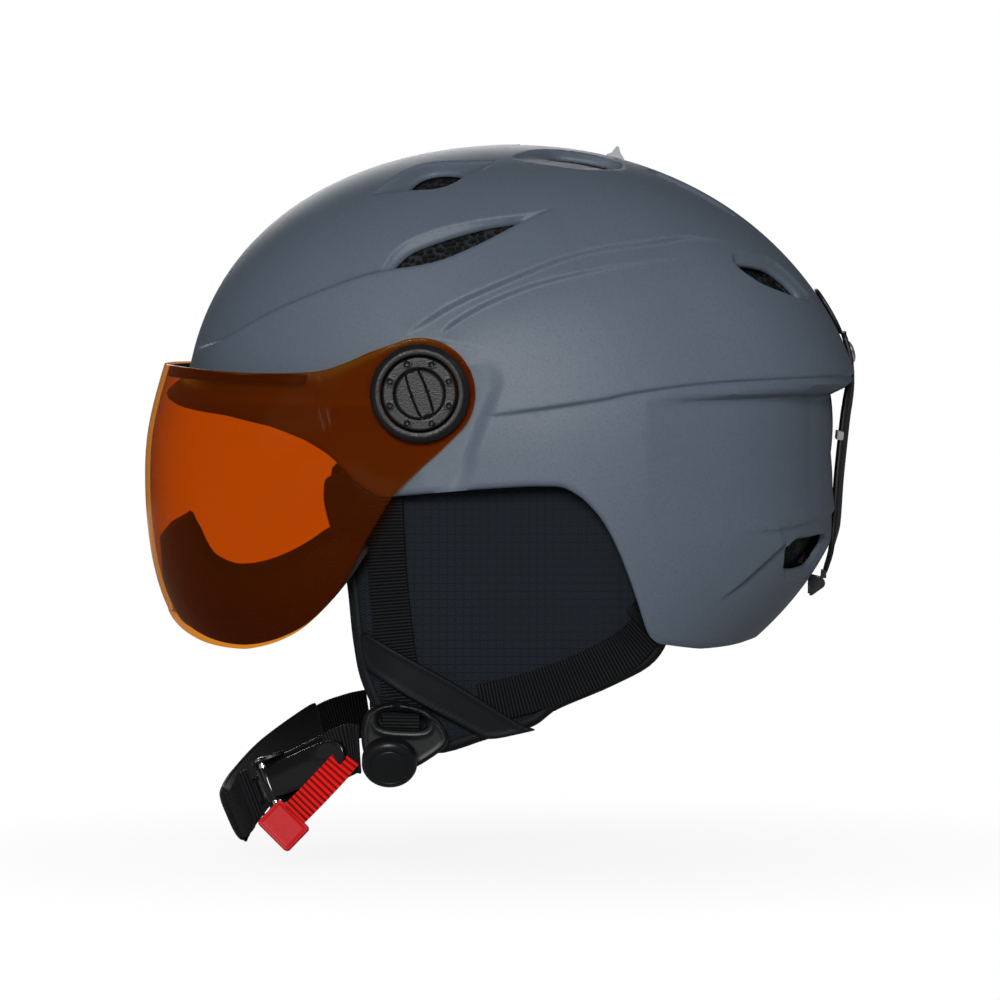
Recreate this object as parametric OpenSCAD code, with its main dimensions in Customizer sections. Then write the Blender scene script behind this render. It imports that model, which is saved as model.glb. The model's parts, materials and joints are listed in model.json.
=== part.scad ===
// Visor ski helmet, worn with the face toward -X, the wearer's left toward -Y and the crown toward +Z.
// The origin lies in the middle plane, at the height of the goggle band, over the middle of the head.
// All lengths are in millimetres and all angles in degrees.
// Places on the dome are given as [azimuth, elevation]: azimuth 0 is the brow, 90 the left ear and
// 180 the nape, and elevation 90 is the crown.

/* [Shell] */
// Length of the shell from brow to nape, without the brow lip
shell_len = 274; // [266:0.5:282]
// Width of the shell over the ears
shell_w = 214; // [208:0.5:222]
// Height of the crown above the goggle band
shell_h = 112; // [106:0.5:118]
// Wall of the hard outer shell
shell_wall = 2.5; // [2:0.1:3]
// How far the rolled brow lip stands out of the dome
lip_out = 8; // [4:0.5:9]
// Depth of the channel for a goggle strap at the back
channel_depth = 11; // [9:0.25:12]

/* [Liner and pads] */
// Length of the head space inside the foam liner
head_len = 206; // [196:1:212]
// Width of the head space inside the foam liner
head_w = 160; // [150:1:166]
// Height of the head space above the goggle band
head_h = 86; // [80:1:90]
// Thickness of the comfort pads
pad_t = 6; // [4:0.5:8]
// Thickness of the ear pads
ear_pad_t = 16; // [12:0.5:18]
// Thickness of the vent mesh
mesh_t = 3; // [2:0.5:4]

/* [Visor] */
// Wall of the visor lens
lens_t = 2.2; // [1.8:0.1:2.6]
// Distance of the pivot axis in front of the origin
pivot_x = 40; // [37:0.5:43]
// Height of the pivot axis above the origin
pivot_z = 14; // [12:0.5:16]
// Radius of the lens end round the pivot
lens_end_r = 22; // [20:0.5:23]
// Outer radius of the pivot ring
ring_r = 19.6; // [18:0.2:20]
// Radius of the visor knob
knob_r = 14.6; // [13:0.2:15]
// Radius of the hub that the lens turns on
hub_r = 9; // [8:0.5:9.5]
// Radius of the knob's stem
stem_r = 4.5; // [3.5:0.5:5]
// Width of the seal under the lens's top edge
top_seal_w = 4.2; // [3.6:0.1:5]

/* [Harness] */
// Width of the harness webbing
web_w = 16; // [14:0.5:17]
// Width of the chin webbing
chin_w = 20; // [18:0.5:21]
// Thickness of all webbing
web_t = 1.4; // [1:0.1:1.6]
// Width of the red release tab
tab_w = 11; // [9:0.5:12]
// Side of the square label on the release tab
label_side = 16; // [13:0.5:17]

/* [Goggle strap retainer] */
// Width of the retainer strap
keeper_w = 20; // [16:1:24]
// Thickness of the retainer strap
keeper_t = 1.3; // [1.1:0.1:1.6]

/* [Fit band] */
// Radius of the fit dial
dial_r = 12; // [10:0.5:13]
// Thickness of the fit bands
band_t = 1.6; // [1.2:0.1:2]

/* [Clearances] */
// Gap between pieces that lie against each other
gap = 0.3; // [0.2:0.05:0.4]
// Radial clearance of a turning fit
run_fit = 0.06; // [0.03:0.01:0.09]
// Gap between the sliding vent shutter and its neighbours
slide_gap = 0.6; // [0.4:0.1:0.8]

/* [Hidden] */
$fn = 48;

// Radius of the dome before scaling, every 15 degrees from 60 below the goggle band up to the crown
FRONT = [150, 143.5, 139.5, 137.6, 137, 136.8, 133.4, 126.6, 119.3, 114.2, 112.2];
SIDE = [165, 139, 119.5, 109.5, 107, 108.6, 112.2, 114.8, 115.3, 113.6, 112.2];
REAR = [125.5, 129.9, 134.4, 138.2, 139.8, 135.6, 128.4, 121.9, 116.4, 113.1, 112.2];
// The dome's own size, which the driving dimensions scale
dome_len = 274;
dome_w = 214;
dome_h = 112;
kx = shell_len / dome_len;
ky = shell_w / dome_w;
kz = shell_h / dome_h;

// Lower edge of the shell and of the liner, as [azimuth, elevation]
RIM = [
    [0, 3.4], [29, 1.7], [39, 0], [46, -2.3], [51, -5.2], [56, -10.4], [60, -13.3], [64, -13.5],
    [76, -12.9], [93, -12.1], [99, -12.1], [103, -14.2], [107, -18], [110, -22.4], [116, -33.4],
    [119, -38.5], [122, -39.9], [135, -41.3], [167, -42.3], [180, -41.5]
];
LINER_RIM = [
    [0, 5], [40, 3], [52, 0], [60, -1.5], [100, -1.5], [108, -8], [116, -22], [122, -29],
    [135, -31], [155, -30], [168, -26], [180, -26]
];

// Vent openings, as [azimuth, elevation]
VENT_SIDE = [[58.6, 31.8], [62.5, 36], [65.3, 37.9], [76, 42.7], [85.6, 45.6], [92.1, 46.4],
             [81.1, 41.3], [72.8, 36.1], [70.9, 35], [64.9, 33.6]];
VENT_BROW = [[52.1, 52.1], [53.8, 56.6], [56.1, 58], [67.2, 58.8], [63, 54.2], [53.1, 52.7]];
VENT_TOP = [[106, 72], [123, 69], [137, 62], [145, 65], [140, 71], [122, 75.5]];
VENT_CROWN = [[153.4, 59.5], [157.2, 51.6], [160.4, 44], [166, 44.5], [166, 54], [163, 61]];
VENT_REAR = [[143.3, 31.1], [148.5, 29.6], [153, 28], [157.7, 23.8], [159.3, 22.4], [154.6, 23.9],
             [148.1, 26.2], [144.8, 29]];
VENT_NAPE = [[149.9, -20.9], [161, -20.4], [161.4, -25.2], [153.1, -25.8]];
VENTS = [VENT_SIDE, VENT_BROW, VENT_TOP, VENT_CROWN, VENT_REAR, VENT_NAPE];

// Azimuths of the shell's columns for one half, closer at the steep back edge of the ear notch
SHELL_AZ = [for (a = [0 : 6 : 96]) a, for (a = [99.5 : 3.5 : 124]) a, for (a = [131 : 7 : 173]) a];
LINER_AZ = [for (a = [0 : 11 : 88]) a, for (a = [99 : 8 : 123]) a, for (a = [134 : 11.5 : 168.5]) a];
// Shares of the way from the lower edge to the crown at which the shell's rows lie
OUTER_ROWS = [
    0, 0.02, 0.045, 0.08, 0.13, 0.18, 0.21, 0.26, 0.31, 0.35, 0.365, 0.42, 0.49, 0.58, 0.68, 0.79, 0.9, 0.97
];
INNER_ROWS = [0, 0.08, 0.18, 0.21, 0.26, 0.31, 0.35, 0.365, 0.42, 0.5, 0.58, 0.68, 0.79, 0.89, 0.97];
LINER_ROWS = [0, 0.07, 0.16, 0.25, 0.35, 0.5, 0.66, 0.82, 0.96];

function clamp(v, lo, hi) = max(lo, min(hi, v));
function bump(v, mid, wide) = exp(-pow((v - mid) / wide, 2));
// Value of a table with even steps at place t, smoothed as a cubic spline
function entry(tab, i) = i < 0 ? 2 * tab[0] - tab[1]
    : i > len(tab) - 1 ? tab[2 * len(tab) - 2 - i] : tab[i];
function spline(tab, t) = let (i = floor(t), f = t - i)
    (pow(1 - f, 3) * entry(tab, i - 1) + (3 * f * f * f - 6 * f * f + 4) * entry(tab, i)
    + (-3 * f * f * f + 3 * f * f + 3 * f + 1) * entry(tab, i + 1) + f * f * f * entry(tab, i + 2)) / 6;
// Direction of a place on the dome
function dir(az, el) = [-cos(az) * cos(el), -sin(az) * cos(el), sin(el)];
// Radius of the plain dome in a direction, before scaling
function dome_r(az, el) = let (
    t = clamp((el + 60) / 15, 0, 10),
    m = 2 + 0.3 * cos(el) * cos(el),
    rx = spline(cos(az) > 0 ? FRONT : REAR, t),
    ry = spline(SIDE, t)
) pow(pow(abs(cos(az)) / rx, m) + pow(abs(sin(az)) / ry, m), -1 / m);
// Azimuth from 0 to 180 that is the same on both sides
function half_az(az) = let (a = az % 360) a > 180 ? 360 - a : a;
// Extra height of the rolled lip over the brow
function lip(az, el) = let (a = half_az(az))
    a > 75 ? 0 : lip_out * bump(el, 4.5, 2.6) * clamp((66 - a) / 30, 0, 1);
// Point on the dome, moved out by off along its own direction
function dome(az, el, off = 0) = let (
    u = dir(az, el),
    p = u * dome_r(az, el)
) [p[0] * kx, p[1] * ky, p[2] * kz] + u * off;
// Depth of the goggle strap channel at a place, with its edges moved out by wide degrees
CHANNEL = [[-21, 0], [-18.4, 0.2], [-12, 0.7], [-6, 1], [5.2, 0.95], [6.2, 0]];
function channel(az, el, wide = 0) = let (e = el > 0 ? max(0, el - wide) : min(0, el + wide))
    channel_depth * lookup(e, CHANNEL) * clamp((half_az(az) - 116) / 42, 0, 1);
function skin(az, el, off = 0) = dome(az, el, off + lip(az, el) - channel(az, el));
// Point on the head space, moved out by off
head_low = 1.45 * head_h;
function head(az, el, off = 0) = let (u = dir(az, el), c = u[2] < 0 ? head_low : head_h)
    u * (off + 1 / sqrt(pow(u[0] / (head_len / 2), 2) + pow(u[1] / (head_w / 2), 2) + pow(u[2] / c, 2)));
// Azimuths all round, from 360 down, for a list of one half
function round_az(half) = concat([for (i = [0 : 1 : len(half) - 1]) 360 - half[i]], [180],
    [for (i = [len(half) - 1 : -1 : 1]) half[i]]);

// Smooth curve through points, with n steps between two of them
function curve_pt(p, i, f) = let (
    a = p[max(i - 1, 0)], b = p[i], c = p[min(i + 1, len(p) - 1)], d = p[min(i + 2, len(p) - 1)]
) 0.5 * (2 * b + (c - a) * f + (2 * a - 5 * b + 4 * c - d) * f * f + (3 * b - a - 3 * c + d) * f * f * f);
function curve(p, n) =
    concat([for (i = [0 : len(p) - 2], k = [0 : n - 1]) curve_pt(p, i, k / n)], [p[len(p) - 1]]);
// The same for a closed outline
function loop_pt(p, i, f) = let (
    m = len(p),
    a = p[(i + m - 1) % m],
    b = p[i],
    c = p[(i + 1) % m],
    d = p[(i + 2) % m]
) 0.5 * (2 * b + (c - a) * f + (2 * a - 5 * b + 4 * c - d) * f * f + (3 * b - a - 3 * c + d) * f * f * f);
function loop(p, n) = [for (i = [0 : len(p) - 1], k = [0 : n - 1]) loop_pt(p, i, k / n)];
function mean(p) = let (n = len(p)) [for (k = [0 : len(p[0]) - 1]) [for (q = p) q[k]] * [for (q = p) 1 / n]];

// Closed solid through rings of equal count, with a centre point at each end.
// Each ring turns right-handed about the way from the first ring to the last.
module loft(rings, first = undef, last = undef) {
    n = len(rings);
    m = len(rings[0]);
    c0 = is_undef(first) ? mean(rings[0]) : first;
    c1 = is_undef(last) ? mean(rings[n - 1]) : last;
    polyhedron(
        points = concat([for (r = rings, p = r) p], [c0, c1]),
        faces = concat(
            [for (i = [0 : n - 2], j = [0 : m - 1]) let (k = (j + 1) % m)
                [i * m + j, (i + 1) * m + j, (i + 1) * m + k]],
            [for (i = [0 : n - 2], j = [0 : m - 1]) let (k = (j + 1) % m)
                [i * m + j, (i + 1) * m + k, i * m + k]],
            [for (j = [0 : m - 1]) [n * m, j, (j + 1) % m]],
            [for (j = [0 : m - 1]) [n * m + 1, (n - 1) * m + (j + 1) % m, (n - 1) * m + j]]
        ),
        convexity = 6
    );
}

// Both sides of what is made for the left
module both_sides() {
    children();
    mirror([0, 1, 0]) children();
}

// What is made for the left, on the side asked for: -1 is the left and 1 the right
module on_side(side) {
    mirror([0, side > 0 ? 1 : 0, 0]) children();
}

// One mesh of everything inside it, at the size it has
module one_mesh() {
    resize([0, 0, 0]) children();
}

// Twice the area of an outline, positive if it turns left
function turn(p) = let (n = len(p))
    [for (i = [0 : n - 1]) p[i][0] * p[(i + 1) % n][1] - p[(i + 1) % n][0] * p[i][1]] * [for (i = p) 1];
// The same outline, turned left
function left_turned(p) = turn(p) > 0 ? p : [for (i = [len(p) - 1 : -1 : 0]) p[i]];
// Block that follows the dome under an outline of [azimuth, elevation], between two offsets
module dome_block(outline, lo, hi) {
    c = mean(outline);
    loft([for (o = [lo, hi]) [for (q = left_turned(outline)) dome(q[0], q[1], o)]],
        dome(c[0], c[1], lo), dome(c[0], c[1], hi));
}

// Outline grown by d degrees from its own middle
function grown(outline, d) = let (c = mean(outline))
    [for (q = outline) let (v = q - c, u = [v[0] * cos(q[1]), v[1]]) c + v * (1 + d / norm(u))];

// Flat strip through a path of [point, way across], w wide and t thick
module strip(path, w, t) {
    n = len(path);
    loft([for (i = [0 : n - 1]) let (
        p = path[i][0],
        d = path[min(i + 1, n - 1)][0] - path[max(i - 1, 0)][0],
        a = path[i][1] / norm(path[i][1]),
        c = cross(d, a),
        s = c / norm(c)
    ) [for (k = [[1, 1], [-1, 1], [-1, -1], [1, -1]]) p + a * w / 2 * k[0] + s * t / 2 * k[1]]]);
}

// Outer shell
shell_in = -shell_wall;
seat_y = shell_w / 2 - 5;
// Recess in which the end of the lens turns
recess_y = seat_y + 2.8;
recess_r = lens_end_r + 5;
// Solid between the dome moved out by hi and by lo, above the shell's lower edge
module shell_form(hi, lo) {
    all_az = round_az(SHELL_AZ);
    function at(a, row, off) = let (e0 = lookup(half_az(a), RIM)) skin(a, e0 + (90 - e0) * row, off);
    loft(concat(
        [for (i = [len(OUTER_ROWS) - 1 : -1 : 0]) [for (a = all_az) at(a, OUTER_ROWS[i], hi)]],
        [for (i = [0 : len(INNER_ROWS) - 1]) [for (a = all_az) at(a, INNER_ROWS[i], lo)]]
    ), dome(0, 90, hi), dome(0, 90, lo));
}
// Turns a shape on +Z into the wearer's left, with its foot y out from the middle plane
module at_pivot(y) {
    translate([-pivot_x, -y, pivot_z]) rotate([90, 0, 0]) children();
}
seat_t = 3.2;
nut_r = 8;
module outer_shell() {
    color([0.33, 0.37, 0.42]) difference() {
        union() {
            one_mesh() difference() {
                union() {
                    shell_form(0, shell_in);
                    both_sides() intersection() {
                        shell_form(0, 2.6 * shell_in);
                        at_pivot(recess_y - seat_t) cylinder(r = recess_r + 2.4, h = seat_t);
                    }
                }
                both_sides() for (v = VENTS) dome_block(v, -12, 12);
                slider_slot(shell_in - 2, 4);
                both_sides() hull() {
                    at_pivot(recess_y) cylinder(r = recess_r, h = 20);
                    at_pivot(recess_y) translate([3, -26, 0]) cylinder(r = 13, h = 20);
                }
                both_sides() at_pivot(seat_y - 8) cylinder(r = ring_r - 2, h = 30);
                keeper_groove();
            }
            both_sides() at_pivot(seat_y - seat_t) cylinder(r = ring_r, h = seat_t);
        }
        both_sides() at_pivot(seat_y - seat_t - 1) cylinder(r = nut_r + run_fit, h = seat_t + 2);
    }
}
// Slot on the crown for the vent slider
slide_c = [-1, 0, -49];
slide_r = 161;
slide_deg = 4.3;
slide_at = 13;
slot_w = 5;
tab_deg = 2.6;
// Sector about the slider's arc centre, from angle a0 to a1 behind the crown line, between two radii
module arc_block(a0, a1, r0, r1, w) {
    translate(slide_c) rotate([90, 0, 0]) translate([0, 0, -w / 2])
        linear_extrude(w) polygon([for (a = [a0 : (a1 - a0) / 6 : a1 + 0.001]) r1 * [sin(a), cos(a)],
            for (a = [a1 : (a0 - a1) / 6 : a0 - 0.001]) r0 * [sin(a), cos(a)]]);
}
module slider_slot(lo, hi) {
    arc_block(
        slide_at - 1.2, slide_at + tab_deg + slide_deg + 0.4, slide_r + lo - 6, slide_r + hi + 2, slot_w
    );
}
// Outline of the slider's fin, as [share of its length, height over the slider's radius]
FIN = [[1, 1], [0.75, 2.6], [0.55, 5.2], [0.42, 5.2], [0.25, 2.2], [0, 1]];
module vent_slider() {
    w = slot_w - 2 * gap;
    function at(share, r) = let (a = slide_at + tab_deg * share) r * [sin(a), cos(a)];
    color([0.45, 0.47, 0.5]) translate(slide_c) rotate([90, 0, 0]) translate([0, 0, -w / 2])
        linear_extrude(w) polygon(concat(
            [for (share = [0, 0.5, 1]) at(share, slide_r + shutter_out + gap)],
            [for (q = FIN) at(q[0], slide_r + q[1])]
        ));
}

// Foam liner
liner_out = shell_in - gap;
module eps_liner() {
    az = round_az(LINER_AZ);
    function rim(a) = lookup(half_az(a), LINER_RIM);
    function at(a, row) = let (e = rim(a) + (90 - rim(a)) * row)
        dome(a, e, liner_out - 0.8 - channel(a, e, 7));
    color([0.12, 0.12, 0.13]) one_mesh() difference() {
        loft(concat(
            [for (i = [len(LINER_ROWS) - 1 : -1 : 0]) [for (a = az) at(a, LINER_ROWS[i])]],
            [for (row = LINER_ROWS) [for (a = az) head(a, rim(a) + (90 - rim(a)) * row)]]
        ), dome(0, 90, liner_out - 0.7), head(0, 90));
        both_sides() for (v = VENTS) {
            dome_block(grown(v, 3.5), mesh_floor - 0.8, 10);
            dome_block(v, -60, 0);
        }
        both_sides() at_pivot(seat_y - seat_t - 5) cylinder(r = recess_r + 4, h = 40, $fn = 24);
        both_sides() translate([0, -ear_mid_y + ear_pad_t / 2 + 1.5, 0]) rotate([90, 0, 0])
            linear_extrude(60) polygon([for (q = loop(EAR_PAD, 2)) ear_c + (q - ear_c) * 1.04]);
        shutter_room();
        slider_slot(-8, 0);
    }
}

// Mesh that shows in the vents
mesh_floor = liner_out - mesh_t - 3.2;
module vent_mesh() {
    color([0.03, 0.03, 0.035]) both_sides() for (v = VENTS) let (thin = v == VENT_NAPE || v == VENT_REAR)
        dome_block(grown(v, 2.6), mesh_floor, mesh_floor + mesh_t - (thin ? 1.2 : 0));
}

// Shutter plate under the crown, which the slider moves over the top vents
shutter_half_w = 30;
// How much the shutter falls off to its sides, in 1/mm
shutter_bow = 0.0042;
SHUTTER = concat([for (q = [-1 : 0.5 : 1]) [q, 1]], [for (q = [1 : -0.5 : -1]) [q, 0]]);
module shutter_form(a0, a1, out, t, extra) {
    loft([for (k = [0 : 8]) let (a = a0 + (a1 - a0) * k / 8) [for (q = SHUTTER) let (
        y = q[0] * (shutter_half_w + extra),
        r = slide_r + out - y * y * shutter_bow - q[1] * t
    ) [slide_c[0] + r * sin(a), y, slide_c[2] + r * cos(a)]]]);
}
shutter_out = mesh_floor - slide_gap - 1;
shutter_t = 1.4;
module vent_shutter() {
    color([0.1, 0.1, 0.11]) shutter_form(slide_at - 7, slide_at + 6, shutter_out, shutter_t, 0);
}
module shutter_room() {
    above = 11;
    shutter_form(
        slide_at - 8, slide_at + 7 + slide_deg,
        shutter_out + above, shutter_t + above + 0.6 + slide_gap, 2 * slide_gap
    );
}

// Comfort pads on the head space
// Inside of the liner moved in by the gap, with the same facets
module head_form() {
    az = round_az(LINER_AZ);
    function rim(a) = lookup(half_az(a), LINER_RIM);
    loft(
        [for (i = [len(LINER_ROWS) - 1 : -1 : 0])
            [for (a = az) head(a, rim(a) + (90 - rim(a)) * LINER_ROWS[i], -gap)]],
        head(0, 90, -gap), [0, 0, -80]
    );
}
module head_pad(az0, az1, el0, el1, steps) {
    e_mid = (el0 + el1) / 2;
    e_half = (el1 - el0) / 2;
    one_mesh() intersection() {
        head_form();
        head_pad_form(az0, az1, e_mid, e_half, steps);
    }
}
module head_pad_form(az0, az1, e_mid, e_half, steps) {
    loft([for (k = [0 : steps]) let (
            f = 2 * k / steps - 1,
            s = sqrt(max(0.02, 1 - pow(abs(f), 6))),
            a = az0 + (az1 - az0) * k / steps
        ) [for (q = [[-1, 0.5], [-0.8, 0.1], [0, 0], [0.8, 0.1], [1, 0.5], [0.8, 1], [0, 1], [-0.8, 1]])
            head(a, e_mid + e_half * q[0] * s, q[1] == 1 ? 1 : -pad_t * (1 - q[1]) * s)]]);
}
module brow_pad() {
    color([0.08, 0.08, 0.09]) head_pad(-52, 52, 7, 25, 16);
}
module crown_pad() {
    color([0.08, 0.08, 0.09]) {
        head_pad(-60, 60, 62, 78, 10);
        head_pad(120, 240, 62, 78, 10);
    }
}
module nape_pad() {
    color([0.08, 0.08, 0.09]) head_pad(140, 220, -18, 0, 12);
}

// Ear pads hang from the liner's lower edge, inside the harness
ear_mid_y = shell_w / 2 - 22.5;
// Distance of the ear pad's middle sheet from the middle plane, at a place in the side view
function ear_y(x, z) = ear_mid_y - 0.018 * pow(max(0, -45 - x), 2) - 0.0016 * pow(max(0, -60 - z), 2)
    - 0.014 * pow(max(0, x - 30), 2);
EAR_PAD = [
    [-73, -19], [-79, -27], [-76, -42], [-70, -60], [-67, -86], [-63, -104], [-52.5, -122], [-35, -131],
    [-12.5, -125], [5, -120], [15, -113], [37, -103.5], [54, -94], [60, -80], [54, -62], [46, -42],
    [40, -27], [28, -19], [0, -18], [-36, -18]
];
ear_c = [-12, -62];
// Section of the pad from the head outward, as [share of the outline, share of the thickness]
EAR_LEVELS = [
    [0.35, -0.5], [0.62, -0.5], [0.85, -0.5], [0.95, -0.42], [1, -0.14],
    [1, 0.14], [0.95, 0.42], [0.85, 0.5], [0.62, 0.5], [0.35, 0.5]
];
module ear_pad(side) {
    outline = loop(EAR_PAD, 2);
    t = ear_pad_t;
    color([0.06, 0.07, 0.09]) on_side(side) loft(
        [for (l = EAR_LEVELS) [for (i = [0 : len(outline) - 1]) let (q = ear_c + (outline[i] - ear_c) * l[0])
            [q[0], -(ear_y(q[0], q[1]) + l[1] * t), q[1]]]],
        [ear_c[0], -(ear_y(ear_c[0], ear_c[1]) - t / 2), ear_c[1]],
        [ear_c[0], -(ear_y(ear_c[0], ear_c[1]) + t / 2), ear_c[1]]);
}

// Harness webbing lies on the ear pad's outer face
function on_pad(x, z, off) = [x, -(ear_y(x, z) + ear_pad_t / 2 + gap + off), z];
web_off = web_t / 2;
module pad_web(route, w, t, off, side) {
    c = curve(route, 3);
    n = len(c);
    rings = [for (i = [0 : n - 1]) let (
        d = c[min(i + 1, n - 1)] - c[max(i - 1, 0)],
        s = [-d[1], d[0]] / norm(d),
        a = c[i] + s * w / 2,
        b = c[i] - s * w / 2
    ) concat(
        [for (q = [a, c[i], b]) on_pad(q[0], q[1], off + t / 2)],
        [for (q = [b, c[i], a]) on_pad(q[0], q[1], off - t / 2)]
    )];
    on_side(side)
        loft(rings, (rings[0][1] + rings[0][4]) / 2, (rings[n - 1][1] + rings[n - 1][4]) / 2);
}
FRONT_WEB = [[-54.5, -10], [-54.2, -34], [-53, -58], [-50.5, -84], [-48, -102], [-47, -116]];
REAR_WEB = [[53, -76], [38, -89], [24, -97.5], [10, -104]];
module front_webbing(side) {
    color([0.05, 0.05, 0.06]) pad_web(FRONT_WEB, web_w, web_t, web_off, side);
}
module rear_webbing(side) {
    color([0.05, 0.05, 0.06]) pad_web(REAR_WEB, web_w, web_t, web_off, side);
}

// Rubber guide in which the two straps of a side meet
guide_t = 3;
GUIDE = [[-57.5, -84.5], [-40, -95], [-20, -106.5], [0, -119]];
guide_w = 17;
module strap_guide(side) {
    color([0.07, 0.07, 0.08]) difference() {
        pad_web(GUIDE, guide_w, guide_t, guide_t / 2, side);
        pad_web(FRONT_WEB, web_w + 2 * gap, web_t + 2 * gap, web_off, side);
        pad_web(
            [REAR_WEB[1], REAR_WEB[2], REAR_WEB[3] - [gap, 0]], web_w + 2 * gap, web_t + 2 * gap, web_off, side
        );
    }
}

// Anchors that hold the upper ends of the harness webbing against the shell
anchor_wall = 2.2;
FRONT_ANCHOR = [[-54.5, -16], [-54.5, -7]];
REAR_ANCHOR = [[48.5, -79.9], [55.6, -73.7]];
module strap_anchors() {
    color([0.1, 0.1, 0.11]) both_sides() {
        anchor(FRONT_ANCHOR, 2);
        anchor(REAR_ANCHOR, -0.4);
    }
}
module anchor(path, extra) {
    wall = anchor_wall + extra;
    way = path[1] - path[0];
    difference() {
        pad_web(path, web_w + 4, web_t + wall, (web_t + wall) / 2, -1);
        pad_web([path[0] - way, path[1] - way * 0.2], web_w + 2 * gap, web_t + 2 * gap, web_off, -1);
    }
}

// Adjusters at the lower end of each side, and the caps that the chin strap swings on
cap_x = -52;
cap_z = -131;
cap_r = 11;
cap_t = 6.5;
cap_tilt = 30;
pin_r = 3;
adj_t = 5;
adj_y = ear_y(-48, -109) + ear_pad_t / 2 + web_t + 2 * gap + 0.1;
// Distance of the cap's back from the adjuster, which leaves room for its tilt
cap_off = cap_r * sin(cap_tilt) + gap;
ADJUSTER = [
    [-63, -119], [-60, -112], [-50, -109], [-41, -111], [-34, -115], [-29, -122], [-30, -127],
    [-38, -133], [-46, -137], [-53, -138], [-60, -134], [-63, -127]
];
ADJUSTER_SLOT = [[-57, -119.5], [-56, -112.5], [-40, -113.5], [-37, -117], [-38, -120.5]];
module adjuster(side) {
    color([0.05, 0.05, 0.055]) on_side(side) translate([0, -adj_y, 0]) rotate([90, 0, 0]) difference() {
        linear_extrude(adj_t) polygon(loop(ADJUSTER, 2));
        translate([0, 0, -1]) linear_extrude(adj_t + 2) polygon(ADJUSTER_SLOT);
        translate([cap_x, cap_z, -1]) cylinder(r = pin_r + run_fit, h = adj_t + 2);
    }
}
module adjuster_cap(side) {
    profile = [[0, 0], [cap_r, 0], [cap_r, cap_t - 2.2], [cap_r - 2, cap_t - 0.4], [0, cap_t]];
    color([0.04, 0.04, 0.045]) on_side(side) translate([cap_x, -adj_y - adj_t - cap_off, cap_z]) {
        rotate([90 + cap_tilt, 0, 0]) rotate_extrude() polygon(profile);
        rotate([90, 0, 0]) translate([0, 0, -adj_t - cap_off]) cylinder(r = pin_r, h = adj_t + cap_off + 1.5);
    }
}

// Parts of the visor's hinge, from the shell outward
boss_t = 3;
boss_r = 17;
lens_in_y = seat_y + boss_t + gap;
lens_y = lens_in_y + lens_t;
hub_top = lens_y + 0.4;
module pivot_boss(side) {
    color([0.05, 0.05, 0.055]) on_side(side) difference() {
        union() {
            at_pivot(seat_y) cylinder(r = boss_r, h = boss_t);
            at_pivot(seat_y) cylinder(r = hub_r, h = hub_top - seat_y);
        }
        at_pivot(seat_y - 1) cylinder(r = stem_r + run_fit, h = 20);
    }
}
nut_flange_r = 13;
nut_flange_t = 3;
module pivot_nut(side) {
    color([0.2, 0.2, 0.21]) on_side(side) difference() {
        union() {
            at_pivot(seat_y - seat_t - nut_flange_t) cylinder(r = nut_flange_r, h = nut_flange_t);
            at_pivot(seat_y - seat_t - nut_flange_t) cylinder(r = nut_r, h = nut_flange_t + seat_t);
        }
        at_pivot(seat_y - seat_t - 10) cylinder(r = stem_r + run_fit, h = 20);
    }
}
ring_h = 4.6;
ring_fit = 0.5;
module pivot_ring(side) {
    bore = knob_r + ring_fit;
    color([0.06, 0.06, 0.065]) on_side(side) at_pivot(lens_y) rotate_extrude() polygon([
        [bore, 0], [ring_r, 0], [ring_r, ring_h - 2.2], [ring_r - 2, ring_h], [bore + 1.2, ring_h],
        [bore, ring_h - 1]
    ]);
}
knob_t = 4;
dish_r = 10.2;
dish_t = 1.6;
bar_w = 5.8;
bar_lean = 20;
knob_foot = hub_top + gap - 0.1;
module visor_knob(side) {
    color([0.05, 0.05, 0.055]) on_side(side) {
        difference() {
            at_pivot(knob_foot) cylinder(r = knob_r, h = knob_t);
            at_pivot(knob_foot + knob_t - dish_t) cylinder(r1 = dish_r - 1, r2 = dish_r, h = dish_t + 0.1);
            for (a = [22.5 : 45 : 359]) at_pivot(knob_foot + knob_t - 0.7) rotate([0, 0, a])
                translate([(knob_r + dish_r) / 2, 0, 0]) cylinder(r = 1.1, h = 1, $fn = 16);
        }
        at_pivot(knob_foot + 1) rotate([0, 0, bar_lean]) intersection() {
            cylinder(r = dish_r - 0.1, h = knob_t + 1.4);
            translate([-bar_w / 2, -dish_r, 0]) cube([bar_w, 2 * dish_r, knob_t + 1.4]);
        }
        stem_foot = seat_y - seat_t - nut_flange_t;
        at_pivot(stem_foot) cylinder(r = stem_r, h = knob_foot - stem_foot + 1);
    }
}

// The lens turns about the pivot axis, so its form is given round that axis:
// [angle below the front, radius of the outer face in the middle plane]
LENS_R = [[-180, 100], [-30, 98], [-5, 105.8], [1, 108.7], [5, 111.2], [9, 113.9], [19, 120.1], [28, 127.1],
          [34.5, 133.2], [41.5, 138.9], [46, 141.4], [60, 146], [75, 149], [110, 140], [180, 100]];
// How square the lens's section is at each angle, where 2 is an ellipse
LENS_N = [[-180, 2.2], [-5, 2.05], [20, 2.3], [60, 2.5], [180, 2.5]];
lens_round = 2.4;
function lens(th, al, off = 0) = let (
    n = lookup(th, LENS_N),
    rho = (lookup(th, LENS_R) + off) * pow(cos(al), 2 / n),
    y = (lens_y + lens_round + off) * pow(abs(sin(al)), 2 / n)
) [-pivot_x - rho * cos(th), sign(al) * y, pivot_z - rho * sin(th)];
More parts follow.
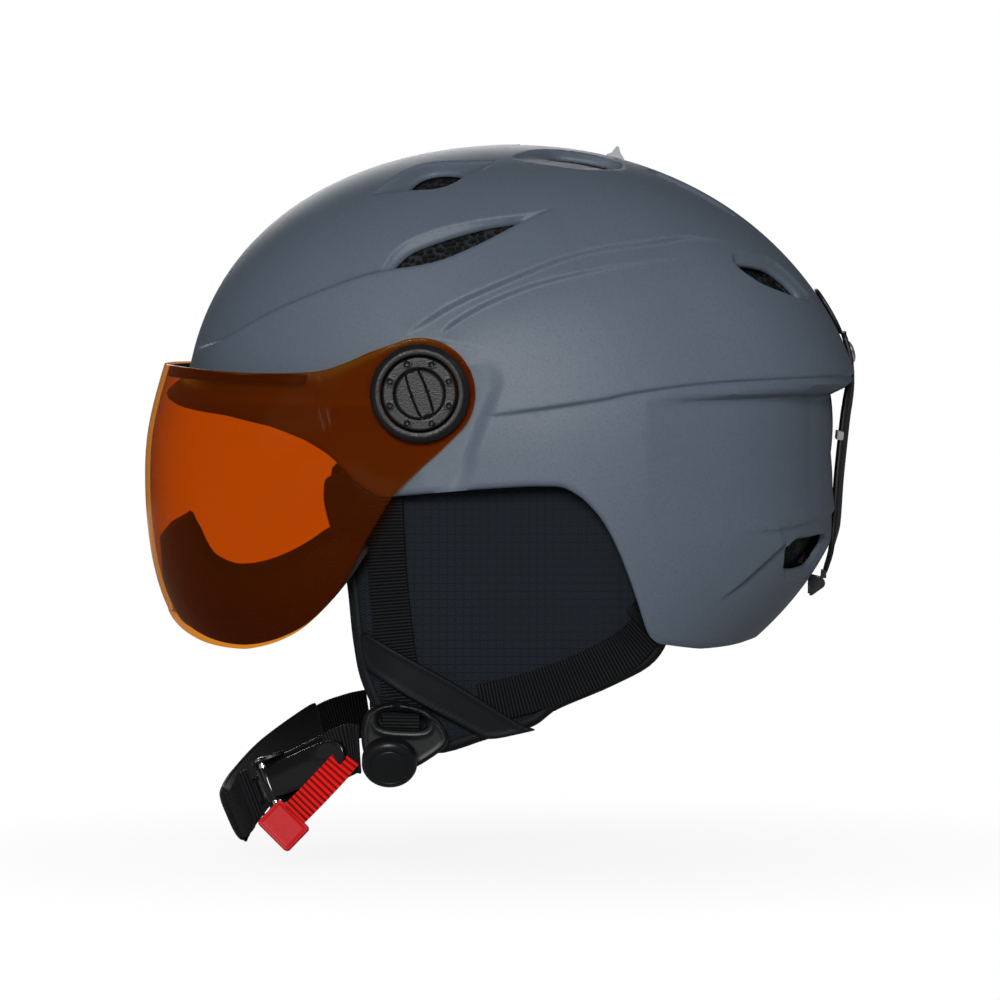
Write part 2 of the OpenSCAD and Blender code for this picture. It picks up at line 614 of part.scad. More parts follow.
// Angles and stations at which the lens's form has its corners
LENS_TH = [for (t = [170 : -12 : 98]) t, for (t = [90 : -6 : -30]) t, for (t = [-44 : -17 : -180]) t];
LENS_AL = [84, 78, 72, 66, 60, 53, 46, 38, 30, 20, 10];
function both(list) = concat([for (a = list) -a], [0], [for (i = [len(list) - 1 : -1 : 0]) list[i]]);
module lens_form(off) {
    end_y = lens_y + lens_round + off;
    loft([for (al = both(LENS_AL)) [for (th = LENS_TH) lens(th, al, off)]],
        [-pivot_x, -end_y, pivot_z], [-pivot_x, end_y, pivot_z]);
}
// The lens in the side view, from its top edge at the front round the pivot and back along its lower edge
LENS_TOP = [[-175, 23.4], [-145, 23.4], [-112, 21.6], [-84, 22.2], [-72, 25], [-60, 30.2]];
LENS_LOW = [
    [-32, -13], [-48, -28.5], [-62, -50.5], [-71.5, -64.5], [-78.4, -72.3], [-87, -80.3], [-96, -85.5],
    [-105, -88.6], [-113, -89.8], [-126, -88.5], [-136, -84.5], [-143, -79], [-150, -72], [-175, -50]
];
module lens_outline() {
    end = [for (a = [112 : -14 : -42]) [-pivot_x, pivot_z] + lens_end_r * [cos(a), sin(a)]];
    polygon(concat(LENS_TOP, end, LENS_LOW));
}
// Slab between the planes y = -half and y = half, of the side view shape inside it
module slab(half) {
    translate([0, half, 0]) rotate([90, 0, 0]) linear_extrude(2 * half) children();
}
module visor_lens() {
    color([0.9, 0.35, 0.05, 0.5]) difference() {
        one_mesh() intersection() {
            difference() {
                lens_form(0);
                intersection() {
                    lens_form(-lens_t);
                    slab(lens_in_y) square(600, center = true);
                }
            }
            slab(lens_y) lens_outline();
        }
        slab(2 * shell_w) translate([-pivot_x, pivot_z]) circle(r = hub_r + run_fit);
    }
}
// Lower edge of the lens and the inner edge of the face seal, as [station, angle below the front]
LENS_EDGE = [
    [0, 41.5], [14.7, 45.7], [22.5, 50], [31.6, 54.9], [48.6, 63.5], [60, 68.1], [67.7, 71.2], [77.6, 79.3]
];
SEAL_EDGE = [[0, 28], [8, 29], [15, 33], [22, 39], [31.6, 44], [48.6, 51], [60, 56], [68, 61]];
// How far the face seal reaches inward from the lens at each station
SEAL_REACH = [[0, 19], [15, 19], [31, 16], [48, 12], [60, 10], [68, 8]];
module visor_face_seal() {
    color([0.05, 0.04, 0.04]) one_mesh() intersection() {
        lens_form(-lens_t - gap);
        face_seal_form();
    }
}
module face_seal_form() {
    loft([for (al = both([68, 62, 56, 49, 42, 34, 27, 21, 15, 10, 5])) let (
        a = abs(al),
        s = al == 0 ? 1e-6 : al,
        e = lookup(a, LENS_EDGE),
        i = lookup(a, SEAL_EDGE),
        d = lookup(a, SEAL_REACH)
    ) [
        lens(e - 1.5, s, -lens_t + 1),
        lens(e - 6, s, -lens_t + 1),
        lens(i, s, -d),
        lens(i + 3, s, -d),
        lens(e - 1.5, s, -lens_t - 6)
    ]]);
}
// Upper edge of the top seal, as [station, angle below the front]
TOP_EDGE = [[0, -4.4], [47, -4.8], [64, -8.5]];
module visor_top_seal() {
    color([0.05, 0.05, 0.05]) loft([for (al = both([64, 58, 51, 44, 36, 28, 19, 10])) let (
        a = abs(al),
        s = al == 0 ? 1e-6 : al,
        e = lookup(a, TOP_EDGE),
        low = e + 2.2 + max(0, a - 47) * 0.15
    ) [
        lens(low, s, -lens_t - gap),
        lens(e, s, -lens_t - gap),
        lens(e, s, -lens_t - top_seal_w),
        lens(low, s, -lens_t - top_seal_w)
    ]]);
}

// Chin strap, which swings on the caps of the two adjusters
// Each point of a strap's route comes with the way across the strap
CHIN_RIGHT = [
    [[-63.8, 92.5, -127], [-0.1, 0, 1]],
    [[-72, 87.5, -128.5], [-0.15, 0, 1]],
    [[-84, 78, -133], [-0.2, 0, 1]],
    [[-104, 55, -147], [-0.3, 0, 1]],
    [[-114, 28, -157], [-0.4, 0, 1]],
    [[-117, 8, -161], [-0.43, 0, 1]],
    [[-117, -8, -161.5], [-0.43, 0, 1]],
    [[-114.5, -26, -159], [-0.4, 0, 1]],
    [[-112, -44, -155], [-0.42, 0, 1]],
    [[-110.6, -57, -151.5], [-0.4, 0.1, 0.95]],
    [[-109.6, -66.9, -148.8], [-0.355, 0.203, 0.914]],
    [[-106.05, -68.3, -147.05], [-0.36, 0.2, 0.914]]
];
function route(path, n) = let (
    p = curve([for (q = path) q[0]], n),
    a = curve([for (q = path) q[1]], n)
) [for (i = [0 : len(p) - 1]) [p[i], a[i]]];
module chin_webbing_right() {
    color([0.05, 0.05, 0.06]) strip(route(CHIN_RIGHT, 3), chin_w, web_t);
}
pad_wall = 2.6;
module chin_pad() {
    sleeve = [for (i = [2 : 6]) CHIN_RIGHT[i]];
    color([0.06, 0.06, 0.07]) difference() {
        strip(route(sleeve, 3), chin_w + 2 * gap + 3, web_t + 2 * gap + 2 * pad_wall);
        strip(route(CHIN_RIGHT, 3), chin_w + 2 * gap, web_t + 2 * gap);
    }
}
// The buckle lies along the left half of the chin strap, in a frame of its own
buckle_at = [-86, -76.5, -137.5];
buckle_pitch = 24;
buckle_yaw = 30;
module at_buckle() {
    translate(buckle_at) rotate([0, -buckle_pitch, -buckle_yaw]) children();
}
buckle_len = 44;
base_t = 2.4;
wall_h = 7.6;
lever_x = -15;
lever_y = -5.3;
lever_pin_r = 1.5;
lever_w = 14;
module buckle_base() {
    color([0.05, 0.05, 0.055]) at_buckle() difference() {
        union() {
            translate([-buckle_len / 2, 0, -chin_w / 2]) cube([buckle_len, base_t, chin_w]);
            for (s = [-1, 1]) translate([lever_x - 5, -wall_h, s * (chin_w / 2 - 1) - 1])
                cube([14, wall_h + 1, 2]);
        }
        translate([buckle_len / 2 - 6, -1, -web_w / 2]) cube([3, base_t + 2, web_w]);
        translate([-buckle_len / 2 + 3, -1, -web_w / 2]) cube([3, base_t + 2, web_w]);
        translate([lever_x, lever_y, -chin_w]) cylinder(r = lever_pin_r + run_fit, h = 2 * chin_w);
    }
}
module buckle_rivets() {
    color([0.8, 0.8, 0.82]) at_buckle() translate([lever_x, lever_y, 0]) {
        cylinder(r = lever_pin_r, h = chin_w + 1, center = true);
        for (s = [-1, 1]) translate([0, 0, s * (chin_w / 2 + 0.6)]) cylinder(r = 2.6, h = 1, center = true);
    }
}
// Outline of half the lever's plate, as [place along it, half its width]
LEVER = [[lever_x, lever_w / 2], [20, lever_w / 2 - 1], [24, 3]];
module release_lever() {
    plate = concat(LEVER, [for (i = [len(LEVER) - 1 : -1 : 0]) [LEVER[i][0], -LEVER[i][1]]]);
    color([0.03, 0.03, 0.035]) at_buckle() difference() {
        union() {
            translate([lever_x, lever_y, 0]) cylinder(r = 3, h = lever_w, center = true);
            translate([0, lever_y + 0.4, 0]) rotate([90, 0, 0]) linear_extrude(2.6) polygon(plate);
        }
        translate([lever_x, lever_y, 0]) cylinder(r = lever_pin_r + run_fit, h = 2 * chin_w, center = true);
    }
}
tongue_w = 12;
module ladder_tongue() {
    color([0.07, 0.07, 0.075]) at_buckle() {
        translate([-buckle_len / 2 - 6, -1.9, -tongue_w / 2]) cube([30, 1.5, tongue_w]);
    }
}
CHIN_LEFT = [
    [[-63.8, -92.5, -128], [-0.1, 0, 1]],
    [[-65.8, -90.4, -128], [-0.3, 0.1, 1]],
    [[-69.3, -87.7, -128.6], [-0.352, 0.203, 0.914]],
    [[-75.5, -83.9, -131.8], [-0.352, 0.203, 0.914]]
];
module chin_webbing_left() {
    color([0.05, 0.05, 0.06]) strip(route(CHIN_LEFT, 2), chin_w, web_t);
}
TAB = [
    [[-73.8, -88.05, -132.4], [0.79, -0.46, 0.41]],
    [[-71.8, -89.6, -137.9], [0.75, -0.4, 0.52]],
    [[-74, -91.4, -142.2], [0.65, -0.15, 0.74]],
    [[-80, -92.3, -147.2], [0.6, 0, 0.8]],
    [[-88, -90, -153.5], [0.62, 0, 0.78]]
];
module release_tab() {
    color([0.75, 0.03, 0.05]) strip(route(TAB, 3), tab_w, web_t);
}
label_t = 3;
module release_label() {
    color([0.7, 0.02, 0.04]) translate([-94.5, -87.5, -159]) rotate([0, 44, 0]) rotate([0, 0, -12])
        cube([label_side + 1.4, label_t, label_side - 2.4], center = true);
}

// Retainer that closes over a goggle strap at the back
KEEPER = [
    [132, 36.5], [134.6, 28], [136.1, 22], [136.3, 14], [135.6, 7], [134.6, 0], [132.2, -23], [131, -40],
    [130, -46], [126.8, -56], [124.6, -63]
];
keeper_pin = [122.6, -66.5];
keeper_pin_r = 1.1;
keeper_barrel_r = 2.3;
barrel_w = 11;
// Places at the back move with the end of the shell
function rear_x(x) = x + (shell_len - dome_len) / 2;
module at_keeper_pin() {
    translate([rear_x(keeper_pin[0]), 0, keeper_pin[1]]) children();
}
module keeper_strap() {
    color([0.05, 0.05, 0.055]) difference() {
        union() {
            strip([for (q = curve(KEEPER, 3)) [[rear_x(q[0]), 0, q[1]], [0, 1, 0]]], keeper_w, keeper_t);
            at_keeper_pin() {
                rotate([90, 0, 0]) cylinder(r = keeper_barrel_r, h = barrel_w, center = true);
                translate([-0.2, -barrel_w / 2, 1]) rotate([0, 30, 0]) cube([2, barrel_w, 4]);
            }
        }
        at_keeper_pin() rotate([90, 0, 0])
            cylinder(r = keeper_pin_r + run_fit, h = 3 * barrel_w, center = true);
    }
}
module keeper_anchor() {
    lug_t = 2.6;
    color([0.05, 0.05, 0.055]) at_keeper_pin() {
        rotate([90, 0, 0]) cylinder(r = keeper_pin_r, h = keeper_w, center = true);
        for (s = [-1, 1]) translate([0, s * (keeper_w / 2 + barrel_w / 2) / 2, 0]) hull() {
            rotate([90, 0, 0]) cylinder(r = 2.2, h = lug_t, center = true);
            translate([-3.7, 0, -1]) cube([1, lug_t, 8], center = true);
        }
    }
}
// Flat in the shell under the upper part of the retainer
module keeper_groove() {
    translate([rear_x(135.35), -keeper_w / 2 - 1, 9]) cube([20, keeper_w + 2, 15.5]);
}
socket_t = 1.6;
module keeper_socket() {
    color([0.05, 0.05, 0.055])
        strip([for (e = [24 : -2 : 16]) [dome(180, e, gap + socket_t / 2), [0, 1, 0]]], keeper_w, socket_t);
}
module keeper_cap() {
    color([0.35, 0.35, 0.37]) translate([rear_x(134.6) + keeper_t / 2, 0, 28]) rotate([0, 74, 0])
        rotate_extrude() polygon([[0, 0.1], [4.5, 0.1], [4.2, 0.9], [2.5, 1.6], [0, 1.8]]);
}

// Fit band round the nape, drawn in by the dial
dial_x = rear_x(92);
dial_z = -72;
dial_t = 6;
rack_z = 5.2;
band_h = 4;
pinion_r = 3;
housing_t = 9;
band_x = dial_x - 5.5;
band_travel = 5;
HOUSING = [[-10, -17], [-11, 0], [-10, 17], [0, 22], [10, 17], [11, 0], [10, -17], [0, -22]];
module fit_housing() {
    track = [band_t + 2 * gap, 75, band_h + 2 * gap];
    color([0.08, 0.08, 0.085]) difference() {
        translate([dial_x - 10, 0, dial_z]) rotate([0, 90, 0]) linear_extrude(housing_t)
            polygon(loop(HOUSING, 3));
        for (s = [-1, 1])
            translate([band_x - track[0] / 2, s < 0 ? -60 : -15, dial_z + s * rack_z - track[2] / 2])
                cube(track);
        translate([dial_x - 12, 0, dial_z]) rotate([0, 90, 0]) cylinder(r = pinion_r + run_fit, h = 20);
    }
}
module fit_dial() {
    color([0.1, 0.1, 0.105]) translate([dial_x - 7, 0, dial_z]) rotate([0, 90, 0]) {
        cylinder(r = pinion_r, h = 7);
        translate([0, 0, 6 + gap]) difference() {
            cylinder(r = dial_r, h = dial_t);
            for (a = [0 : 30 : 359]) rotate([0, 0, a]) translate([dial_r + 1, 0, -1])
                cylinder(r = 1.8, h = dial_t + 2, $fn = 16);
        }
    }
}
// The band of one side, from its rack in the housing round to the temple
BAND = [[0, 8], [0, 24], [-3, 40], [-12, 54], [-28, 63], [-46, 66.5]];
module fit_band(side) {
    c = curve(BAND, 2);
    n = len(c);
    z = dial_z + side * rack_z;
    lift = [for (i = [0 : n - 1]) 14 * pow(max(0, i - 3) / (n - 4), 1.5)];
    color([0.09, 0.09, 0.095]) loft([for (k = [0 : n - 1]) let (
        i = side > 0 ? k : n - 1 - k,
        d = c[min(i + 1, n - 1)] - c[max(i - 1, 0)],
        s = [-d[1], d[0]] / norm(d) * band_t / 2
    ) [for (q = [[-1, -1], [-1, 1], [1, 1], [1, -1]])
        [band_x + c[i][0] - s[0] * q[0], side * (c[i][1] - s[1] * q[0]), z + lift[i] + q[1] * band_h / 2]]]);
}

outer_shell();
eps_liner();
vent_mesh();
brow_pad();
crown_pad();
nape_pad();
ear_pad(-1);  // ear_pad_left
ear_pad(1);  // ear_pad_right
front_webbing(-1);  // front_webbing_left
front_webbing(1);  // front_webbing_right
rear_webbing(-1);  // rear_webbing_left
rear_webbing(1);  // rear_webbing_right
strap_guide(-1);  // strap_guide_left
strap_guide(1);  // strap_guide_right
strap_anchors();
adjuster(-1);  // adjuster_left
adjuster(1);  // adjuster_right
adjuster_cap(-1);  // adjuster_cap_left
adjuster_cap(1);  // adjuster_cap_right
vent_slider();
vent_shutter();
pivot_boss(-1);  // pivot_boss_left
pivot_boss(1);  // pivot_boss_right
pivot_nut(-1);  // pivot_nut_left
pivot_nut(1);  // pivot_nut_right
visor_lens();
visor_top_seal();
visor_face_seal();
pivot_ring(-1);  // pivot_ring_left
pivot_ring(1);  // pivot_ring_right
visor_knob(-1);  // visor_knob_left
visor_knob(1);  // visor_knob_right
chin_webbing_left();
chin_webbing_right();
chin_pad();
buckle_base();
buckle_rivets();
ladder_tongue();
release_lever();
release_tab();
release_label();
keeper_anchor();
keeper_strap();
keeper_cap();
keeper_socket();
fit_housing();
fit_dial();
fit_band(-1);  // fit_band_left
fit_band(1);  // fit_band_right
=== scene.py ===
"""Visor ski helmet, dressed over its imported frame.

The helmet faces -X, the wearer's left is -Y and the crown is +Z. Lengths in the classes are in
millimetres and angles in degrees, and they turn into metres where a mesh is made. A place on the
shell is an azimuth, from 0 at the brow over 90 at the ear to 180 at the nape, and an elevation.
"""

from __future__ import annotations

import json
import logging
import math
from dataclasses import dataclass
from enum import Enum
from typing import Callable, Sequence

import bmesh
import bpy
import numpy as np
from mathutils import Vector
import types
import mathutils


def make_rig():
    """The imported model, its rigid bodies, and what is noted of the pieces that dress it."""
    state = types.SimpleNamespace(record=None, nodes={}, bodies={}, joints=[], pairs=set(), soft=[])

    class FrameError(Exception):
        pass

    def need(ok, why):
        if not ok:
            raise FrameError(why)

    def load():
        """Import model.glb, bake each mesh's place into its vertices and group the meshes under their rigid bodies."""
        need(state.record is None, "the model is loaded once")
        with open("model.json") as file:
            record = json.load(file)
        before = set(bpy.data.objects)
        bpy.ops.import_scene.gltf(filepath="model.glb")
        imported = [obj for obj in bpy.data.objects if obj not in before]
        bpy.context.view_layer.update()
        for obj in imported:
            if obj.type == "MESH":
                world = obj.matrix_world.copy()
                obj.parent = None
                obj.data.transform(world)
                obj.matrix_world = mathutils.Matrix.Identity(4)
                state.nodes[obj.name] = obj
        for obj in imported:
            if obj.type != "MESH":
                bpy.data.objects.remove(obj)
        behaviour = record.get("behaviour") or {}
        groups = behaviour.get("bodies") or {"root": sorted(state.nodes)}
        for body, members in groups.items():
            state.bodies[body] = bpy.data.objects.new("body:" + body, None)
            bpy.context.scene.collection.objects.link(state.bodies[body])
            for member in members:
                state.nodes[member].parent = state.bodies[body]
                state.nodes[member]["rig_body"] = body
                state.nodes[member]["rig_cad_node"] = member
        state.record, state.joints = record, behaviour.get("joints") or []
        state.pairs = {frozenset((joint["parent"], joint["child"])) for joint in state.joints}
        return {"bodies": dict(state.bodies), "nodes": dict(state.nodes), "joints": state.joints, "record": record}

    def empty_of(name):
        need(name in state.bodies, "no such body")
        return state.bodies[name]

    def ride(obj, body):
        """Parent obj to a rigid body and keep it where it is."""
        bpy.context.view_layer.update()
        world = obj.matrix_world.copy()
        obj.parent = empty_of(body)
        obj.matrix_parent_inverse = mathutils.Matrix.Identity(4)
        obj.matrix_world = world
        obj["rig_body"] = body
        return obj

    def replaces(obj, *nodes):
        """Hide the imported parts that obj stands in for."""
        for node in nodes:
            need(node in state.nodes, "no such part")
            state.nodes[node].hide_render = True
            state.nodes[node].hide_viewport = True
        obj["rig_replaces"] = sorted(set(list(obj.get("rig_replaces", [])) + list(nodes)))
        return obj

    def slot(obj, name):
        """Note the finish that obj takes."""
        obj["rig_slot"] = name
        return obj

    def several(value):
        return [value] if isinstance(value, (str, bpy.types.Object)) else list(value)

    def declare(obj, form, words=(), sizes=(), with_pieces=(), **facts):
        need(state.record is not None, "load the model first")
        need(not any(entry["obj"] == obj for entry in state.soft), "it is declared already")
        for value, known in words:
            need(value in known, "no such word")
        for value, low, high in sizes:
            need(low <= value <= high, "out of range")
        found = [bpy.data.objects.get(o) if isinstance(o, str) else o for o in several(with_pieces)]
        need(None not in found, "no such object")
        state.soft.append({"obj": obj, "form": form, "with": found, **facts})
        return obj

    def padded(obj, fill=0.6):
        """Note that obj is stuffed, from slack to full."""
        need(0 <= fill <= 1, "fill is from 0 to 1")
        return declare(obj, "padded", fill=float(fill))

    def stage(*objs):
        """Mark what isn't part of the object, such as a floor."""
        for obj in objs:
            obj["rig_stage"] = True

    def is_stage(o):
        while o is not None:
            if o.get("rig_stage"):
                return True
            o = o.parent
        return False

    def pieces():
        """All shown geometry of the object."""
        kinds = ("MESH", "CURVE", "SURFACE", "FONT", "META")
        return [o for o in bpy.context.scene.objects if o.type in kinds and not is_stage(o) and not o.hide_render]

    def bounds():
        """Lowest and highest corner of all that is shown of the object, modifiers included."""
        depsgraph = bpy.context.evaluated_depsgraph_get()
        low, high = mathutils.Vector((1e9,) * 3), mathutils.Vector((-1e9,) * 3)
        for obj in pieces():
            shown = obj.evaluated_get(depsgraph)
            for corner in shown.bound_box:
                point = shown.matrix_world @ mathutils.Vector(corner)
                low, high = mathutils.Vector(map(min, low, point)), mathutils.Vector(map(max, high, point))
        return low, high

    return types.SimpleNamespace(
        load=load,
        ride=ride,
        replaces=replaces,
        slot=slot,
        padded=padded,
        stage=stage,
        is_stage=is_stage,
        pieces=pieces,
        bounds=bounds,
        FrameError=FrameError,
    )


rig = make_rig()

LOG = logging.getLogger("helmet")
MM = 0.001
CELLS_PER_MM = 500
LEFT = -1
RIGHT = 1
SIDES = {LEFT: "left", RIGHT: "right"}
Place = tuple[float, float]
Point = tuple[float, float, float]
Array = np.ndarray
Pair = tuple[Array, Array]
ToSpace = Callable[[Array, Array], Array]
Relief = Callable[[Array], Array]


# Shader nodes and shader maths


def add_node(tree: bpy.types.NodeTree, kind: str, sockets: dict | None = None,
             **settings: str) -> bpy.types.Node:
    """Add a node to a tree.

    Args:
        tree: The tree.
        kind: Type of the node.
        sockets: Values of its inputs, or outputs of other nodes, by name or number.
        settings: Its properties.

    Returns:
        The node.
    """
    node = tree.nodes.new(f"ShaderNode{kind}")
    for key, value in settings.items():
        setattr(node, key, value)
    for key, value in (sockets or {}).items():
        if isinstance(value, bpy.types.NodeSocket):
            tree.links.new(value, node.inputs[key])
        else:
            node.inputs[key].default_value = value
    return node


def empty_tree(owner: bpy.types.Material | bpy.types.World) -> bpy.types.NodeTree:
    """Return the node tree of a material or world, without its first nodes."""
    owner.use_nodes = True
    owner.node_tree.nodes.clear()
    return owner.node_tree


class Maths:
    """Shader value that takes part in Python expressions."""

    def __init__(self, finish: "Finish", socket: bpy.types.NodeSocket) -> None:
        """Wrap an output socket of a finish's node tree."""
        self.finish = finish
        self.socket = socket

    def _do(self, operation: str, first: "Value", second: "Value" = 0.0) -> "Maths":
        """Add one Math node with two values."""
        return self.finish.node("Math", {0: first, 1: second}, operation=operation)

    def __add__(self, other: "Value") -> "Maths":
        """Sum of two values."""
        return self._do("ADD", self, other)

    __radd__ = __add__

    def __mul__(self, other: "Value") -> "Maths":
        """Product of two values."""
        return self._do("MULTIPLY", self, other)

    __rmul__ = __mul__

    def __sub__(self, other: "Value") -> "Maths":
        """Difference of two values."""
        return self._do("SUBTRACT", self, other)

    def __rsub__(self, other: "Value") -> "Maths":
        """Difference of a number and this value."""
        return self._do("SUBTRACT", other, self)

    def __pow__(self, other: "Value") -> "Maths":
        """This value to a power."""
        return self._do("POWER", self, other)

    def absolute(self) -> "Maths":
        """Size of this value without its sign."""
        return self._do("ABSOLUTE", self)

    def wave(self) -> "Maths":
        """Sine of this value."""
        return self._do("SINE", self)

    def step(self, low: float, high: float) -> "Maths":
        """Smooth step of this value, from nought at low to one at high."""
        return self.finish.node("MapRange", {0: self, 1: low, 2: high}, interpolation_type="SMOOTHSTEP")


Value = Maths | float | int


class Weave(Enum):
    """Surface pattern of a finish."""

    PLAIN = "plain"
    RIBS = "ribs"
    RIPSTOP = "ripstop"
    KNIT = "knit"
    GRAIN = "grain"
    CELLS = "cells"
    BEADS = "beads"
    PEEL = "peel"


@dataclass(frozen=True)
class Finish:
    """A material and how its surface varies.

    Attributes:
        name: Name of the material.
        colour: Base colour, linear.
        rough: Roughness.
        weave: Pattern of the surface.
        pitch: Size of the pattern, in mm.
        depth: Strength of the bump.
        second: Colour of the pattern's other part, or None for a tone of the first. In the hollows of cells, grain,
            beads, ribs and knit it is painted shade.
        spread: How much the colour varies over the surface.
        metal: Metallic.
        coat: Coat weight.
        alpha: Opacity of a tinted finish where it faces the eye.
        tint: Colour of the light that passes one surface, or None for an opaque finish.
        sheen: Sheen weight.
        specular: Specular level.
        uv: Whether the pattern follows the piece's own surface map, in mm.
    """

    name: str
    colour: tuple[float, float, float]
    rough: float = 0.5
    weave: Weave = Weave.PLAIN
    pitch: float = 1.0
    depth: float = 0.3
    second: tuple[float, float, float] | None = None
    spread: float = 0.08
    metal: float = 0.0
    coat: float = 0.0
    alpha: float = 1.0
    tint: tuple[float, float, float] | None = None
    sheen: float = 0.0
    specular: float = 0.5
    uv: bool = False

    def node(self, kind: str, sockets: dict | None = None, out: int | str = 0, **settings: str) -> Maths:
        """Add any node to the material.

        Args:
            kind: Type of the node.
            sockets: Values or links of its inputs, by name or number.
            out: Which output to return.
            settings: Its properties.

        Returns:
            The chosen output.
        """
        tree = bpy.data.materials[self.name].node_tree
        plain = {}
        for key, value in (sockets or {}).items():
            plain[key] = value.socket if isinstance(value, Maths) else value
        node = add_node(tree, kind, plain, **settings)
        outputs = node.outputs if isinstance(out, str) else [o for o in node.outputs if o.enabled]
        return Maths(self, outputs[out])

    def texture(self, kind: str, place: Maths, scale: float, **sockets: float) -> Maths:
        """Add a noise or Voronoi texture at a place, with more inputs by name."""
        values = {"Vector": place, "Scale": scale, **sockets}
        return self.node(f"Tex{kind}", values, "Distance" if kind == "Voronoi" else 0)

    def _axes(self, place: Maths) -> list[Maths]:
        """Split coordinates into their three values."""
        node = add_node(bpy.data.materials[self.name].node_tree, "SeparateXYZ", {0: place.socket})
        return [Maths(self, output) for output in node.outputs]

    def _pattern(self, place: Maths, unit: float) -> tuple[Maths, Maths]:
        """Build the pattern.

        Args:
            place: The pattern's coordinates.
            unit: Coordinate units in a millimetre.

        Returns:
            The height and the mask of the second colour, both from 0 to 1. For cells, grain, beads, ribs and knit the
            mask lies in the low parts of the height, and the darker colour it brings there is painted shade in the
            hollows.
        """
        turn = 2 * math.pi / (self.pitch * unit)
        if self.weave in (Weave.GRAIN, Weave.CELLS, Weave.BEADS):
            cell = self.texture("Voronoi", place, 1 / (self.pitch * unit))
            if self.weave is Weave.CELLS:
                # Mask at the pits of the cells: painted shade in the cells' hollows.
                return cell.step(0.05, 0.62), 1 - cell.step(0.44, 0.74)
            # Mask at the low borders between grains and between beads: painted shade in these joints.
            return 1 - cell.step(0.1, 0.75), cell.step(0.45, 0.8)
        if self.weave is Weave.RIBS:
            over, along, _ = self._axes(place)
            rib = (along * turn).wave() * 0.5 + 0.5
            thread = (over * (turn * 2.2)).wave() * 0.12
            # Mask in the troughs between the ribs: painted shade there.
            return rib ** 0.6 + thread, 1 - rib.step(0.1, 0.55)
        if self.weave in (Weave.RIPSTOP, Weave.KNIT):
            x, y, z = self._axes(place)
            woven = ((x + y * 0.35) * turn).wave() * ((z - y * 0.25) * turn).wave() * 0.5 + 0.5
            if self.weave is Weave.KNIT:
                # Mask in the hollows of the knit: painted shade there.
                return woven, 1 - woven.step(0.1, 0.6)
            big = turn / 5.0
            line = (x * big).wave().absolute().step(0.0, 0.3) * (z * big).wave().absolute().step(0.0, 0.3)
            return woven * 0.5 + (1 - line) * 0.6, 1 - woven.step(0.2, 0.7)
        fine = self.texture("Noise", place, 1 / (self.pitch * unit), Detail=3.0, Roughness=0.6)
        return fine, fine.step(0.45, 0.7) * (0.0 if self.weave is Weave.PLAIN else 1.0)

    def make(self) -> bpy.types.Material:
        """Return the material, made on its first use."""
        found = bpy.data.materials.get(self.name)
        if found is not None:
            return found
        material = bpy.data.materials.new(self.name)
        tree = empty_tree(material)
        body = self.node("TexCoord", out="Object")
        place, unit = (self.node("UVMap", uv_map="surface"), 1.0) if self.uv else (body, MM)
        height, mask = self._pattern(place, unit)
        broad = self.texture("Noise", body, 14.0, Detail=4.0)
        dark = tuple(c * (1 - self.spread) for c in self.colour)
        light = tuple(min(1.0, c * (1 + self.spread)) for c in self.colour)
        # The second colour, or a darker tone of the first, goes where the pattern's mask is. For cells, grain, beads,
        # ribs and knit this is painted shade in the bump's hollows.
        other = self.second or tuple(c * 0.72 for c in self.colour)
        tone = self.node("Mix", {0: broad.step(0.3, 0.7), 6: (*dark, 1), 7: (*light, 1)}, data_type="RGBA")
        weight = mask if self.second else mask * 0.6
        base = self.node("Mix", {0: weight, 6: tone, 7: (*other, 1)}, data_type="RGBA")
        rough = broad * 0.1 + (self.rough - 0.05) + weight * 0.05
        high = self.pitch * MM * 0.3
        bump = self.node("Bump", {"Strength": self.depth, "Distance": high, "Height": height})
        shader = self.node("BsdfPrincipled", {
            "Base Color": base, "Roughness": rough, "Normal": bump, "Metallic": self.metal,
            "Coat Weight": self.coat, "Coat Roughness": 0.12, "Sheen Weight": self.sheen,
            "Sheen Roughness": 0.5, "Specular IOR Level": self.specular})
        if self.tint is not None:
            clear = self.node("BsdfTransparent", {0: (*self.tint, 1)})
            facing = self.node("LayerWeight", {"Blend": 0.5}, "Facing")
            shader = self.node("MixShader", {0: facing ** 4.0 * 0.45 + self.alpha, 1: clear, 2: shader})
        add_node(tree, "OutputMaterial", {0: shader.socket})
        material.diffuse_color = (*self.colour, self.alpha)
        return material


